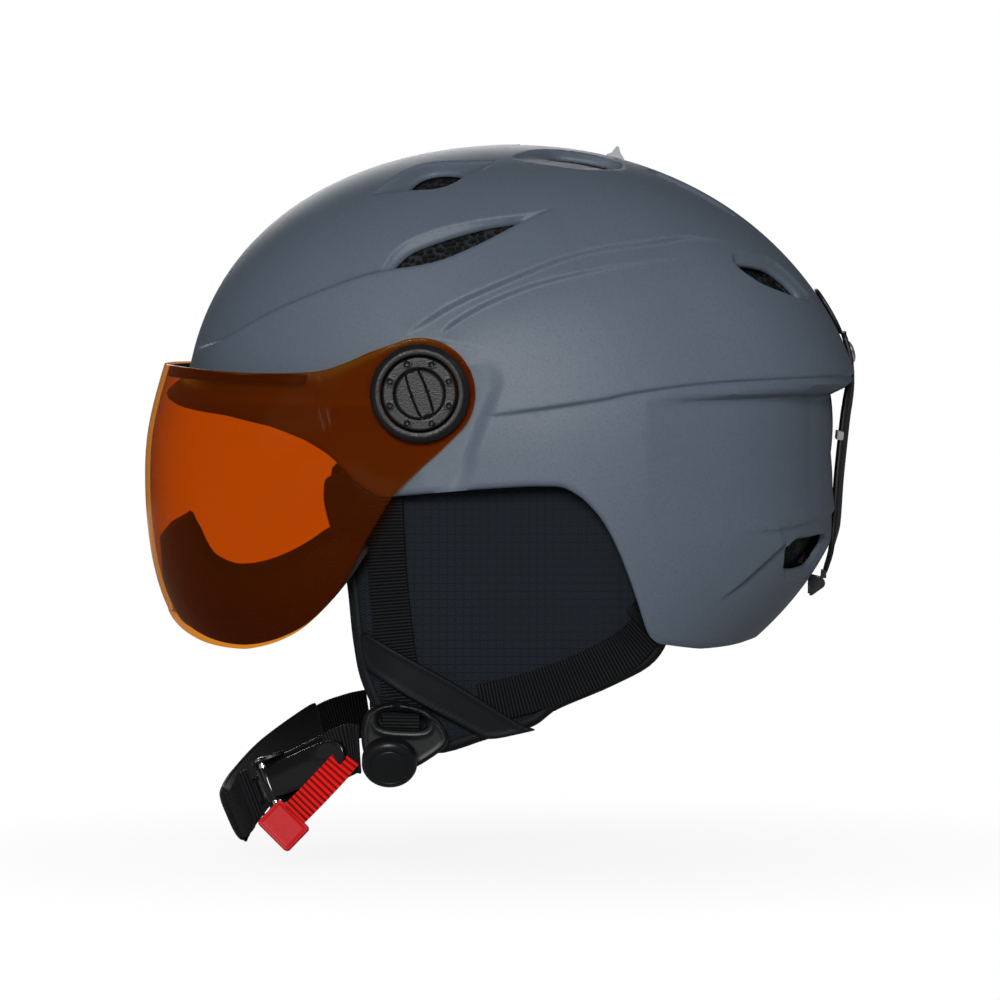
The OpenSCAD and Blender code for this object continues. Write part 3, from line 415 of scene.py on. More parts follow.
class Finishes:
    """Every finish of the helmet."""

    # Finishes with cells, grain, beads, ribs or knit get painted shade in their bump's hollows, from the second colour
    # or a darker tone of the first.
    SHELL = Finish("shell paint", (0.082, 0.103, 0.133), 0.5, Weave.PEEL, 0.7, 0.06, spread=0.02,
                   specular=0.3)
    FOAM_BEADS = Finish("beaded foam", (0.014, 0.014, 0.015), 0.7, Weave.BEADS, 3.0, 0.5)
    # Its near-black second colour is painted shade in the pits of the foam's cells.
    MESH = Finish("vent foam", (0.015, 0.016, 0.018), 0.75, Weave.CELLS, 2.3, 1.0, (0.001, 0.001, 0.0015),
                  specular=0.2)
    KNIT = Finish("lining knit", (0.007, 0.007, 0.009), 0.9, Weave.KNIT, 1.1, 0.7, sheen=0.05, specular=0.12)
    RIPSTOP = Finish("ear pad weave", (0.0045, 0.0060, 0.0085), 0.85, Weave.RIPSTOP, 1.3, 1.0,
                     (0.014, 0.018, 0.024), specular=0.15)
    PIPING = Finish("piping", (0.005, 0.006, 0.008), 0.7, Weave.KNIT, 0.8, 0.6, specular=0.25)
    # Its second colour is painted shade in the troughs between the ribs.
    WEBBING = Finish("ribbed webbing", (0.0085, 0.009, 0.0105), 0.6, Weave.RIBS, 1.32, 1.0,
                     (0.0015, 0.0015, 0.002), specular=0.12, uv=True)
    # Its second, darker red is painted shade in the troughs between the ribs.
    RED_WEBBING = Finish("red webbing", (0.62, 0.008, 0.006), 0.6, Weave.RIBS, 2.2, 1.0, (0.20, 0.002, 0.002),
                         specular=0.12, uv=True)
    GUIDE = Finish("guide rubber", (0.0055, 0.006, 0.007), 0.5, Weave.PEEL, 0.5, 0.2, specular=0.12)
    PLASTIC = Finish("moulded plastic", (0.004, 0.0045, 0.005), 0.34, Weave.PEEL, 0.5, 0.2, specular=0.22)
    GRAINED = Finish("grained plastic", (0.0055, 0.0055, 0.006), 0.38, Weave.GRAIN, 0.6, 0.35, specular=0.3)
    GLOSS = Finish("gloss plastic", (0.003, 0.003, 0.0035), 0.14, Weave.PEEL, 1.0, 0.03, coat=0.3,
                   specular=0.3)
    LENS = Finish("amber lens", (0.30, 0.06, 0.003), 0.08, Weave.PLAIN, 6.0, 0.0, spread=0.02, alpha=0.07,
                  tint=(0.84, 0.50, 0.13))
    SEAL = Finish("closed cell foam", (0.014, 0.011, 0.010), 0.85, Weave.PEEL, 1.2, 0.5, specular=0.2)
    SATIN = Finish("satin grey", (0.16, 0.17, 0.18), 0.35, Weave.PEEL, 0.5, 0.1, metal=0.3)
    METAL = Finish("polished metal", (0.62, 0.62, 0.64), 0.18, Weave.PEEL, 0.5, 0.05, metal=1.0)
    RED_RUBBER = Finish("red rubber", (0.46, 0.004, 0.007), 0.42, Weave.PEEL, 0.6, 0.12, specular=0.15)
    RUBBER = Finish("black rubber", (0.0055, 0.0055, 0.006), 0.5, Weave.PEEL, 0.6, 0.2, specular=0.3)


# Mesh making


def smooth(value: Array | float, low: float, high: float) -> Array:
    """Smooth step, from nought at low to one at high."""
    t = np.clip((np.asarray(value, float) - low) / (high - low), 0, 1)
    return t * t * (3 - 2 * t)


def join(*values: Array) -> Array:
    """Points from their coordinates."""
    return np.stack(values, axis=-1)


def normed(vectors: Array) -> Array:
    """Vectors with a length of one."""
    return vectors / np.linalg.norm(vectors, axis=1)[:, None]


def beside(way: Array) -> Array:
    """Unit vectors across flat directions."""
    return normed(join(-way[:, 1], way[:, 0]))


def table(value: Array, rows: Sequence[Place]) -> Array:
    """Read a table of places and values, with straight lines between its rows."""
    return np.interp(value, *zip(*rows))


def eased(az: Array, rows: Sequence[Place], reach: float, spread: float) -> Array:
    """Read a table by azimuth, the same on both sides, with its corners eased.

    Args:
        az: Azimuths.
        rows: The table, from 0 to 180.
        reach: How far on each side it is averaged.
        spread: How wide the average is.

    Returns:
        The values.
    """
    steps = np.linspace(-reach, reach, 9)
    weight = np.exp(-(steps / spread) ** 2)
    a = np.abs(np.asarray(az, float)[..., None] + steps)
    return table(np.where(a > 180, 360 - a, a), rows) @ (weight / weight.sum())


def curve(points: Sequence[Sequence[float]], steps: int, closed: bool = False) -> Array:
    """Smooth curve through points.

    Args:
        points: The points that it goes through.
        steps: Parts between two of them.
        closed: Whether it closes.

    Returns:
        The points of the curve.
    """
    p = np.asarray(points, float)
    count = len(p)
    last = count if closed else count - 1
    rows = []
    for i in range(last):
        if closed:
            a, b, c, d = (p[(i + k - 1) % count] for k in range(4))
        else:
            a, b, c, d = (p[min(max(i + k - 1, 0), count - 1)] for k in range(4))
        f = (np.arange(steps) / steps)[:, None]
        square, cube = 2 * a - 5 * b + 4 * c - d, 3 * b - a - 3 * c + d
        rows.append(0.5 * (2 * b + (c - a) * f + square * f**2 + cube * f**3))
    if not closed:
        rows.append(p[-1][None])
    return np.concatenate(rows)


def rounded(points: Sequence[Sequence[float]], times: int = 2) -> Array:
    """Closed outline with its corners cut round.

    Args:
        points: Corners of the outline.
        times: How often the corners are cut.

    Returns:
        The rounded outline.
    """
    p = np.asarray(points, float)
    for _ in range(times):
        q = np.roll(p, -1, axis=0)
        p = np.stack([0.78 * p + 0.22 * q, 0.22 * p + 0.78 * q], axis=1).reshape(-1, p.shape[1])
    return p


def inside(points: Array, outline: Array) -> Array:
    """Tell for each point of the outline's plane whether it lies inside the outline."""
    x, y = points[:, 0], points[:, 1]
    hit = np.zeros(len(points), bool)
    for a, b in zip(outline, np.roll(outline, -1, axis=0)):
        if a[1] == b[1]:
            continue
        over = (a[1] > y) != (b[1] > y)
        hit ^= over & (x < a[0] + (y - a[1]) * (b[0] - a[0]) / (b[1] - a[1]))
    return hit


def nearest(points: Array, path: Array, closed: bool = False) -> tuple[Array, Array, Array]:
    """Find the nearest place on a path.

    Args:
        points: Points, in two or three dimensions.
        path: Points of the path.
        closed: Whether the path closes.

    Returns:
        The distance, the segment's number, and the place on the path in segments.
    """
    best = np.full(len(points), 1e9)
    which = np.zeros(len(points), int)
    place = np.zeros(len(points))
    ends = np.roll(path, -1, axis=0) if closed else path[1:]
    for i, (a, b) in enumerate(zip(path, ends)):
        ab = b - a
        t = np.clip((points - a) @ ab / max(float(ab @ ab), 1e-12), 0, 1)
        d = np.linalg.norm(points - a - t[:, None] * ab, axis=1)
        near = d < best
        best[near] = d[near]
        which[near] = i
        place[near] = (i + t)[near]
    return best, which, place


def depth_in(points: Array, outline: Array) -> Array:
    """Distance of flat points inside a closed outline, negative outside it."""
    away = nearest(points, outline, closed=True)[0]
    return np.where(inside(points, outline), away, -away)


def drop_at(depth: Array, radius: float) -> Array:
    """How far a round edge lies under its face, by the distance from its rim."""
    short = radius - np.clip(depth, 0, radius)
    return radius - np.sqrt(np.clip(radius**2 - short**2, 0, None))


def box(x0: float, x1: float, z0: float, z1: float, r: float) -> Array:
    """Rectangle between two places on each axis, with corners of radius r."""
    angle = np.radians(np.arange(0, 360, 15) + 7.5)
    turn = join(np.cos(angle), np.sin(angle))
    half = np.array([(x1 - x0) / 2 - r, (z1 - z0) / 2 - r])
    return np.array([(x0 + x1) / 2, (z0 + z1) / 2]) + turn * r + np.sign(turn) * half


def turns(lean: float, swing: float) -> Pair:
    """Turns about the second and about the third axis, in degrees, as matrices."""
    a, b = math.radians(lean), math.radians(swing)
    about_y = np.array([[math.cos(a), 0, math.sin(a)], [0, 1, 0], [-math.sin(a), 0, math.cos(a)]])
    about_z = np.array([[math.cos(b), -math.sin(b), 0], [math.sin(b), math.cos(b), 0], [0, 0, 1]])
    return about_y, about_z


def edges_of(faces: Array) -> Array:
    """Edges of triangles, each with its triangle's turn."""
    return np.concatenate([faces[:, [k, (k + 1) % 3]] for k in range(3)])


@dataclass
class Skin:
    """Triangles whose points carry values, such as their place on the dome."""

    values: Array
    faces: Array

    @classmethod
    def grid(cls, first: Array, second: Array) -> "Skin":
        """Make a grid of two values, the first one by row."""
        values = np.stack(np.meshgrid(first, second, indexing="ij"), axis=-1).reshape(-1, 2)
        return cls(values, grid_faces(len(first), len(second)))

    def split(self, level: Array, snap: float = 0.05) -> "Skin":
        """Cut the triangles along the line where a value is nought.

        Args:
            level: The value at each point.
            snap: Points nearer to nought than this lie on the line.

        Returns:
            The cut skin.
        """
        f = np.where(np.abs(level) < snap, 0.0, level)
        signs = np.sign(f[self.faces])
        crossed = (signs.min(1) < 0) & (signs.max(1) > 0)
        if not crossed.any():
            return self
        kept, cut, signs = self.faces[~crossed], self.faces[crossed], signs[crossed]
        edges = np.sort(edges_of(cut), axis=1)
        edges = np.unique(edges[f[edges[:, 0]] * f[edges[:, 1]] < 0], axis=0)
        count = len(self.values)
        keys = edges[:, 0] * count + edges[:, 1]
        share = (f[edges[:, 0]] / (f[edges[:, 0]] - f[edges[:, 1]]))[:, None]
        fresh = self.values[edges[:, 0]] * (1 - share) + self.values[edges[:, 1]] * share

        def middle(p: Array, q: Array) -> Array:
            """Number of the new point between two old ones."""
            return count + np.searchsorted(keys, np.minimum(p, q) * count + np.maximum(p, q))

        rows = np.arange(len(cut))
        flat = (signs == 0).any(1)
        lone = np.argmax(signs == np.where(flat, 0, -signs.sum(1))[:, None], axis=1)
        a, b, c = (cut[rows, (lone + k) % 3] for k in range(3))
        parts = [kept]
        s, t, u = a[flat], b[flat], c[flat]
        if len(s):
            m = middle(t, u)
            parts += [np.stack([s, t, m], 1), np.stack([s, m, u], 1)]
        s, t, u = a[~flat], b[~flat], c[~flat]
        if len(s):
            m, n = middle(s, t), middle(u, s)
            parts += [np.stack([s, m, n], 1), np.stack([m, t, u], 1), np.stack([m, u, n], 1)]
        return Skin(np.concatenate([self.values, fresh]), np.concatenate(parts))

    def keep(self, level: Array) -> "Skin":
        """Keep the triangles on whose points a value is nought or more.

        Args:
            level: The value at each point.

        Returns:
            The part that is kept, without loose points.
        """
        faces = self.faces[(level[self.faces] >= -0.06).all(1) & (level[self.faces].sum(1) > 1e-6)]
        used, faces = np.unique(faces, return_inverse=True)
        return Skin(self.values[used], faces.reshape(-1, 3))

    def rim(self) -> Array:
        """Return the open edges, each with the turn of its triangle."""
        edges = edges_of(self.faces)
        low = np.sort(edges, axis=1)
        _, back, counts = np.unique(low, axis=0, return_inverse=True, return_counts=True)
        return edges[counts[back.ravel()] == 1]


def grid_faces(rows: int, columns: int, closed: bool = False) -> Array:
    """Triangles of a grid of points.

    Args:
        rows: Count of rows.
        columns: Count of points in a row.
        closed: Whether each row closes.

    Returns:
        The triangles.
    """
    i = np.arange(rows - 1)[:, None]
    j = np.arange(columns if closed else columns - 1)[None]
    a = i * columns + j
    b = i * columns + (j + 1) % columns
    quads = np.stack([a, b, b + columns, a + columns], axis=-1).reshape(-1, 4)
    return np.concatenate([quads[:, [0, 1, 2]], quads[:, [0, 2, 3]]])


def thick(outer: Array, inner: Array, skin: Skin) -> Pair:
    """Close two surfaces of the same faces with walls along their rims.

    Args:
        outer: Points of the outer surface.
        inner: Points of the inner surface.
        skin: The faces that both have.

    Returns:
        The points and the triangles.
    """
    count = len(outer)
    rim = skin.rim()
    a, b = rim[:, 0], rim[:, 1]
    walls = np.concatenate([np.stack([b, a, a + count], 1), np.stack([b, a + count, b + count], 1)])
    return np.concatenate([outer, inner]), np.concatenate([skin.faces, skin.faces[:, ::-1] + count, walls])


def welded(points: Array, faces: Array) -> Pair:
    """Join points that are in the same place.

    Args:
        points: Points in mm.
        faces: Triangles.

    Returns:
        The numbers of the points that stay, and the triangles that have three corners left.
    """
    cells = np.round(points * CELLS_PER_MM).astype(np.int64)
    _, first, back = np.unique(cells, axis=0, return_index=True, return_inverse=True)
    faces = back.ravel()[faces]
    return first, faces[(faces != np.roll(faces, 1, axis=1)).all(1)]


def mirrored(points: Array, faces: Array) -> Pair:
    """Add the mirror image of one half over the middle plane."""
    return merged((points, faces), (points * [1, -1, 1], faces[:, ::-1]))


def merged(*meshes: Pair) -> Pair:
    """Put the points and triangles of several solids in one mesh."""
    starts = np.cumsum([0] + [len(points) for points, _ in meshes])
    faces = [part + start for (_, part), start in zip(meshes, starts)]
    return np.concatenate([points for points, _ in meshes]), np.concatenate(faces)


def loft(rings: Array, caps: bool = True) -> Pair:
    """Solid through closed rings of the same count.

    Args:
        rings: Points by ring.
        caps: Whether the ends are closed.

    Returns:
        The points and the triangles.
    """
    count, size = rings.shape[:2]
    points = rings.reshape(-1, 3)
    faces = [grid_faces(count, size, closed=True)]
    if caps:
        j = np.arange(size)
        k = (j + 1) % size
        first, last = len(points), len(points) + 1
        faces.append(np.stack([np.full(size, first), k, j], 1))
        faces.append(np.stack([np.full(size, last), j + (count - 1) * size, k + (count - 1) * size], 1))
        points = np.concatenate([points, rings[0].mean(0)[None], rings[-1].mean(0)[None]])
    return points, np.concatenate(faces)


def places(skin: Skin, rim: Callable[[Array], Array]) -> Pair:
    """Azimuth and elevation of points that carry an azimuth and a share of the way from rim to crown."""
    az, share = skin.values.T
    low = rim(az)
    return az, low + (90 - low) * share


@dataclass
class Piece:
    """One dressed piece of the helmet and the ways to make its object."""

    name: str
    finish: Finish
    body: str
    slot: str
    nodes: tuple[str, ...] = ()

    def build(self, points: Array, faces: Array, uv: Array | None = None, crease: float = 180.0,
              merge: float = 1e-4) -> bpy.types.Object:
        """Make the object, dress it and set it on its body.

        Args:
            points: Points in mm.
            faces: Triangles.
            uv: Place of each point on the surface map, in mm.
            crease: Angle from which an edge stays sharp.
            merge: Distance in mm at which points become one.

        Returns:
            The object.
        """
        mesh = bpy.data.meshes.new(self.name)
        mesh.from_pydata((points * MM).tolist(), [], faces.tolist())
        if uv is not None:
            layer = mesh.uv_layers.new(name="surface")
            loops = np.zeros(len(mesh.loops), dtype=np.int64)
            mesh.loops.foreach_get("vertex_index", loops)
            layer.data.foreach_set("uv", uv[loops].ravel())
        bm = bmesh.new()
        bm.from_mesh(mesh)
        bmesh.ops.remove_doubles(bm, verts=bm.verts, dist=merge * MM)
        bmesh.ops.dissolve_degenerate(bm, dist=1e-8, edges=bm.edges)
        bmesh.ops.recalc_face_normals(bm, faces=bm.faces)
        bm.to_mesh(mesh)
        bm.free()
        mesh.validate()
        mesh.shade_smooth()
        if crease < 180:
            mesh.set_sharp_from_angle(angle=math.radians(crease))
        mesh.materials.append(self.finish.make())
        piece = bpy.data.objects.new(self.name, mesh)
        bpy.context.scene.collection.objects.link(piece)
        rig.ride(piece, self.body)
        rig.slot(piece, self.slot)
        if self.nodes:
            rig.replaces(piece, *self.nodes)
        LOG.info("%s: %d faces", self.name, len(mesh.polygons))
        return piece


# The dome that everything lies on


class Dome:
    """Smooth form of the shell, the same as in the part's source."""

    FRONT = (150, 143.5, 139.5, 137.6, 137, 136.8, 133.4, 126.6, 119.3, 114.2, 112.2)
    SIDE = (165, 139, 119.5, 109.5, 107, 108.6, 112.2, 114.8, 115.3, 113.6, 112.2)
    REAR = (125.5, 129.9, 134.4, 138.2, 139.8, 135.6, 128.4, 121.9, 116.4, 113.1, 112.2)
    CHANNEL = ((-21, 0), (-18.4, 0.2), (-12, 0.7), (-6, 1), (5.2, 0.95), (6.2, 0))
    CHANNEL_DEPTH = 11.0
    LIP_OUT = 8.0
    RIM = ((0, 3.4), (29, 1.7), (39, 0), (46, -2.3), (51, -5.2), (56, -10.4), (60, -13.3), (64, -13.5),
           (76, -12.9), (93, -12.1), (99, -12.1), (103, -14.2), (107, -18), (110, -22.4), (116, -33.4),
           (119, -38.5), (122, -39.9), (135, -41.3), (167, -42.3), (180, -41.5))

    @staticmethod
    def _spline(table: Sequence[float], t: Array) -> Array:
        """Value of an even table at places in its steps, smoothed."""
        p = np.array([2 * table[0] - table[1], *table, table[-2], table[-3]], float)
        i = np.minimum(np.floor(t).astype(int), len(table) - 1)
        f = t - i
        return ((1 - f) ** 3 * p[i] + (3 * f**3 - 6 * f**2 + 4) * p[i + 1]
                + (-3 * f**3 + 3 * f**2 + 3 * f + 1) * p[i + 2] + f**3 * p[i + 3]) / 6

    @classmethod
    def point(cls, az: Array, el: Array, off: Array | float = 0.0) -> Array:
        """Points on the plain dome.

        Args:
            az: Azimuths.
            el: Elevations.
            off: Distance outward.

        Returns:
            The points in mm.
        """
        az, el = np.asarray(az, float), np.asarray(el, float)
        a, e = np.radians(az), np.radians(el)
        t = np.clip((el + 60) / 15, 0, 10)
        m = 2 + 0.3 * np.cos(e) ** 2
        rx = np.where(np.cos(a) > 0, cls._spline(cls.FRONT, t), cls._spline(cls.REAR, t))
        ry = cls._spline(cls.SIDE, t)
        r = ((np.abs(np.cos(a)) / rx) ** m + (np.abs(np.sin(a)) / ry) ** m) ** (-1 / m) + off
        u = np.stack([-np.cos(a) * np.cos(e), -np.sin(a) * np.cos(e), np.sin(e)], axis=-1)
        return u * np.asarray(r)[..., None]

    @staticmethod
    def half(az: Array) -> Array:
        """Azimuths on the half from 0 to 180."""
        return np.where(az % 360 > 180, 360 - az % 360, az % 360)

    @classmethod
    def channel(cls, az: Array, el: Array, wide: float = 0.0) -> Array:
        """Depth of the channel for a goggle strap, with its edges moved out by some degrees."""
        el = np.where(el > 0, np.maximum(0, el - wide), np.minimum(0, el + wide))
        return cls.CHANNEL_DEPTH * table(el, cls.CHANNEL) * np.clip((cls.half(az) - 116) / 42, 0, 1)

    @classmethod
    def height(cls, az: Array, el: Array) -> Array:
        """Height of the rolled lip over the brow and of the channel over the plain dome."""
        a = cls.half(az)
        lip = cls.LIP_OUT * np.exp(-((el - 4.5) / 2.6) ** 2) * np.clip((66 - a) / 30, 0, 1)
        return np.where(a > 75, 0, lip) - cls.channel(az, el)

    @classmethod
    def rim(cls, az: Array) -> Array:
        """Elevation of the shell's lower edge, with its corners eased."""
        return eased(az, cls.RIM, 2.2, 1.3)


@dataclass(frozen=True)
class Crease:
    """A line on the shell on whose two sides the surface lies at different heights.

    Attributes:
        path: Places from front to rear.
        rise: Height of the side above the line over the side below it.
        width: Half the width of the step.
        above: How far the upper side's share reaches.
        below: How far the lower side's share reaches.
        fade: Shares of the path over which it fades in and out.
    """

    path: tuple[Place, ...]
    rise: float
    width: float
    above: float
    below: float
    fade: tuple[float, float] = (0.2, 0.2)

    def measure(self, points: Array) -> Pair:
        """Measure points against the line.

        Args:
            points: Points on the dome.

        Returns:
            The distance, positive above the line, and the share of the path.
        """
        line = Dome.point(*curve(self.path, 8).T)
        gap, which, place = nearest(points, line)
        way = line[which + 1] - line[which]
        side = np.einsum("ij,ij->i", np.cross(way, points - line[which]), points)
        return np.where(side < 0, -gap, gap), place / (len(line) - 1)

    def height(self, points: Array) -> Array:
        """Height that the crease adds at points on the dome."""
        gap, share = self.measure(points)
        reach = np.where(gap > 0, self.above, self.below)
        ends = smooth(share, 0, self.fade[0]) * (1 - smooth(share, 1 - self.fade[1], 1.0001))
        return 0.5 * self.rise * np.tanh(gap / self.width) * np.exp(-np.abs(gap) / reach) * ends


@dataclass(frozen=True)
class Vent:
    """An opening in the shell with the recess round it.

    Attributes:
        opening: Corners of the opening.
        recess: Corners of the recess, or nothing.
        depth: Depth of the recess at the opening.
        deeper: How much further in the foam lies, in mm.
    """

    opening: tuple[Place, ...]
    recess: tuple[Place, ...] = ()
    depth: float = 3.0
    deeper: float = 0.0

    def outline(self) -> Array:
        """Outline of the opening."""
        return self._bent(rounded(self.opening))

    @staticmethod
    def _bent(corners: Array) -> Array:
        """Outline with enough points on its edges to bend with the dome."""
        ends = np.roll(corners, -1, axis=0)
        step = (ends - corners) * [math.cos(math.radians(float(corners[:, 1].mean()))), 1]
        parts = np.maximum(np.ceil(np.linalg.norm(step, axis=1) / 2.2).astype(int), 1)
        rows = [a + (b - a) * (np.arange(n) / n)[:, None] for a, b, n in zip(corners, ends, parts)]
        return np.concatenate(rows)

    @staticmethod
    def _deep(line: Array, az: Array, el: Array) -> Array:
        """Distance on the dome inside an outline, negative outside it."""
        away = nearest(Dome.point(az, el), Dome.point(*line.T), closed=True)[0]
        return np.where(inside(join(az, el), line), away, -away)

    def inset(self, az: Array, el: Array) -> Array:
        """Distance inside the recess's edge, negative outside it."""
        return self._deep(self._bent(rounded(self.recess, 1)), az, el)

    def gap(self, az: Array, el: Array) -> Array:
        """Distance from the opening's edge, negative inside it."""
        return -self._deep(self.outline(), az, el)

    def scoop(self, az: Array, el: Array) -> Array:
        """Depth of the recess, most at the opening's edge."""
        edge = np.clip(self.inset(az, el), 0, None)
        hole = np.clip(self.gap(az, el), 0, None)
        return self.depth * smooth(edge, 0, 1.6) * (0.2 + 0.8 * edge / (edge + hole + 0.4))


BROW_CREASE = Crease(((7.8, 12.3), (23.1, 14.6), (34.9, 20.3), (44.7, 25.3), (56.1, 30.7), (71.0, 35.0),
                      (92.1, 46.2), (101.4, 49.0)), -3.8, 1.1, 22, 16, (0.16, 0.22))
BAND_TOP = Crease(((64.7, 18.2), (77.4, 26.5), (94.7, 33.9), (108.4, 37.2), (125.9, 37.8), (134.6, 37.9),
                   (149.3, 35.5)),
                  2.4, 0.6, 16, 12, (0.12, 0.35))
BAND_LOW = Crease(((72.1, 19.3), (80.8, 25.4), (94.5, 30.8), (113.9, 33.5), (134.5, 33.8)), 2.0, 0.6, 12, 16,
                  (0.12, 0.5))
SHORT = Crease(((64.3, 18.0), (73.3, 17.7), (78.2, 17.1), (86.4, 15.7)), 0.7, 0.9, 9, 9, (0.2, 0.5))
STEP_TOP = Crease(((80.0, 2.4), (89.8, 3.6), (106.5, 5.9), (114.6, 7.3), (131.3, 8.5), (165.4, 8.1),
                   (179, 8.0)),
                  2.0, 0.5, 14, 9, (0.25, 0.02))
STEP_LOW = Crease(((114.6, 4.6), (131.0, 5.0), (156.9, 4.6), (179, 4.4)), 1.0, 0.9, 8, 12, (0.25, 0.05))
NOTCH_CREASE = Crease(((134.7, -32.1), (140.0, -27.7), (145.6, -22.9), (148.7, -20.4)), 2.6, 0.7, 9, 9,
                      (0.3, 0.1))
BULGE_LINE = Crease(((133.8, -19.4), (149.7, -18.1), (162.1, -16.6), (178, -16.0)), 1.7, 1.0, 9, 9,
                    (0.3, 0.1))
CREASES = (BROW_CREASE, BAND_TOP, BAND_LOW, SHORT, STEP_TOP, STEP_LOW, NOTCH_CREASE, BULGE_LINE)

VENTS = (
    Vent(((57.8, 32.0), (60.6, 36.6), (64.4, 39.0), (70.7, 42.1), (80.0, 45.6), (89.8, 47.3), (92.6, 46.5),
          (81.1, 41.3), (72.8, 36.1), (70.9, 35.0), (64.9, 33.6)),
         ((56.1, 30.7), (58.0, 36.4), (60.5, 39.1), (67.9, 43.3), (80.3, 47.0), (93.4, 48.7), (101.4, 49.2),
          (93.9, 46.3), (81.1, 41.0), (72.8, 35.8), (71.0, 34.7), (64.9, 33.2), (58.7, 31.2)), 2.5),
    Vent(((51.4, 52.6), (47.8, 55.4), (47.2, 59.4), (50.0, 61.6), (55.0, 62.6), (61.5, 62.8), (66.3, 61.0),
          (67.6, 58.7), (62.9, 54.4), (54.4, 52.8)),
         ((40.9, 49.2), (41.6, 51.7), (40.4, 59.7), (43.1, 63.4), (54.7, 65.4), (72.3, 67.3), (78.0, 67.7),
          (74.8, 63.6), (67.3, 58.2), (63.0, 53.8), (52.0, 51.6), (44.4, 49.3)), 3.0),
    Vent(((106, 72), (123, 69), (137, 62), (145, 65), (140, 71), (122, 75.5)),
         ((84.6, 71.9), (98, 76.5), (122, 77.5), (142, 72.5), (147, 65), (138.9, 61.0), (115.5, 61.9),
          (111.5, 63.4), (85.1, 69.6)), 2.4, -1.8),
    Vent(((153.4, 59.5), (157.2, 51.6), (160.4, 44), (166, 44.5), (166, 54), (163, 61)),
         ((151.2, 60.0), (155.2, 51.2), (159.4, 42.6), (168, 43), (168.2, 54), (164, 62.4)), 2.6),
    Vent(((143.8, 31.4), (150.0, 30.6), (155.8, 29.2), (160.0, 25.4), (160.8, 22.4), (154.6, 23.9),
          (148.1, 26.2), (144.8, 29.0)),
         ((143.6, 33.4), (147.0, 33.6), (158.3, 31.6), (162.0, 27.7), (164.6, 23.0), (164.4, 21.4),
          (159.1, 22.1), (154.3, 23.5), (147.8, 25.8), (143.9, 29.0), (142.6, 31.1)), 2.2, 0.8),
    Vent(((149.2, -20.6), (157, -20.2), (168.5, -19.6), (166.5, -25.6), (158, -26.4), (151.8, -26.0)),
         ((148.2, -19.6), (169.5, -18.8), (168.5, -26.4), (160.5, -28.2), (151.4, -27.6)), 1.8, 1.2),
)


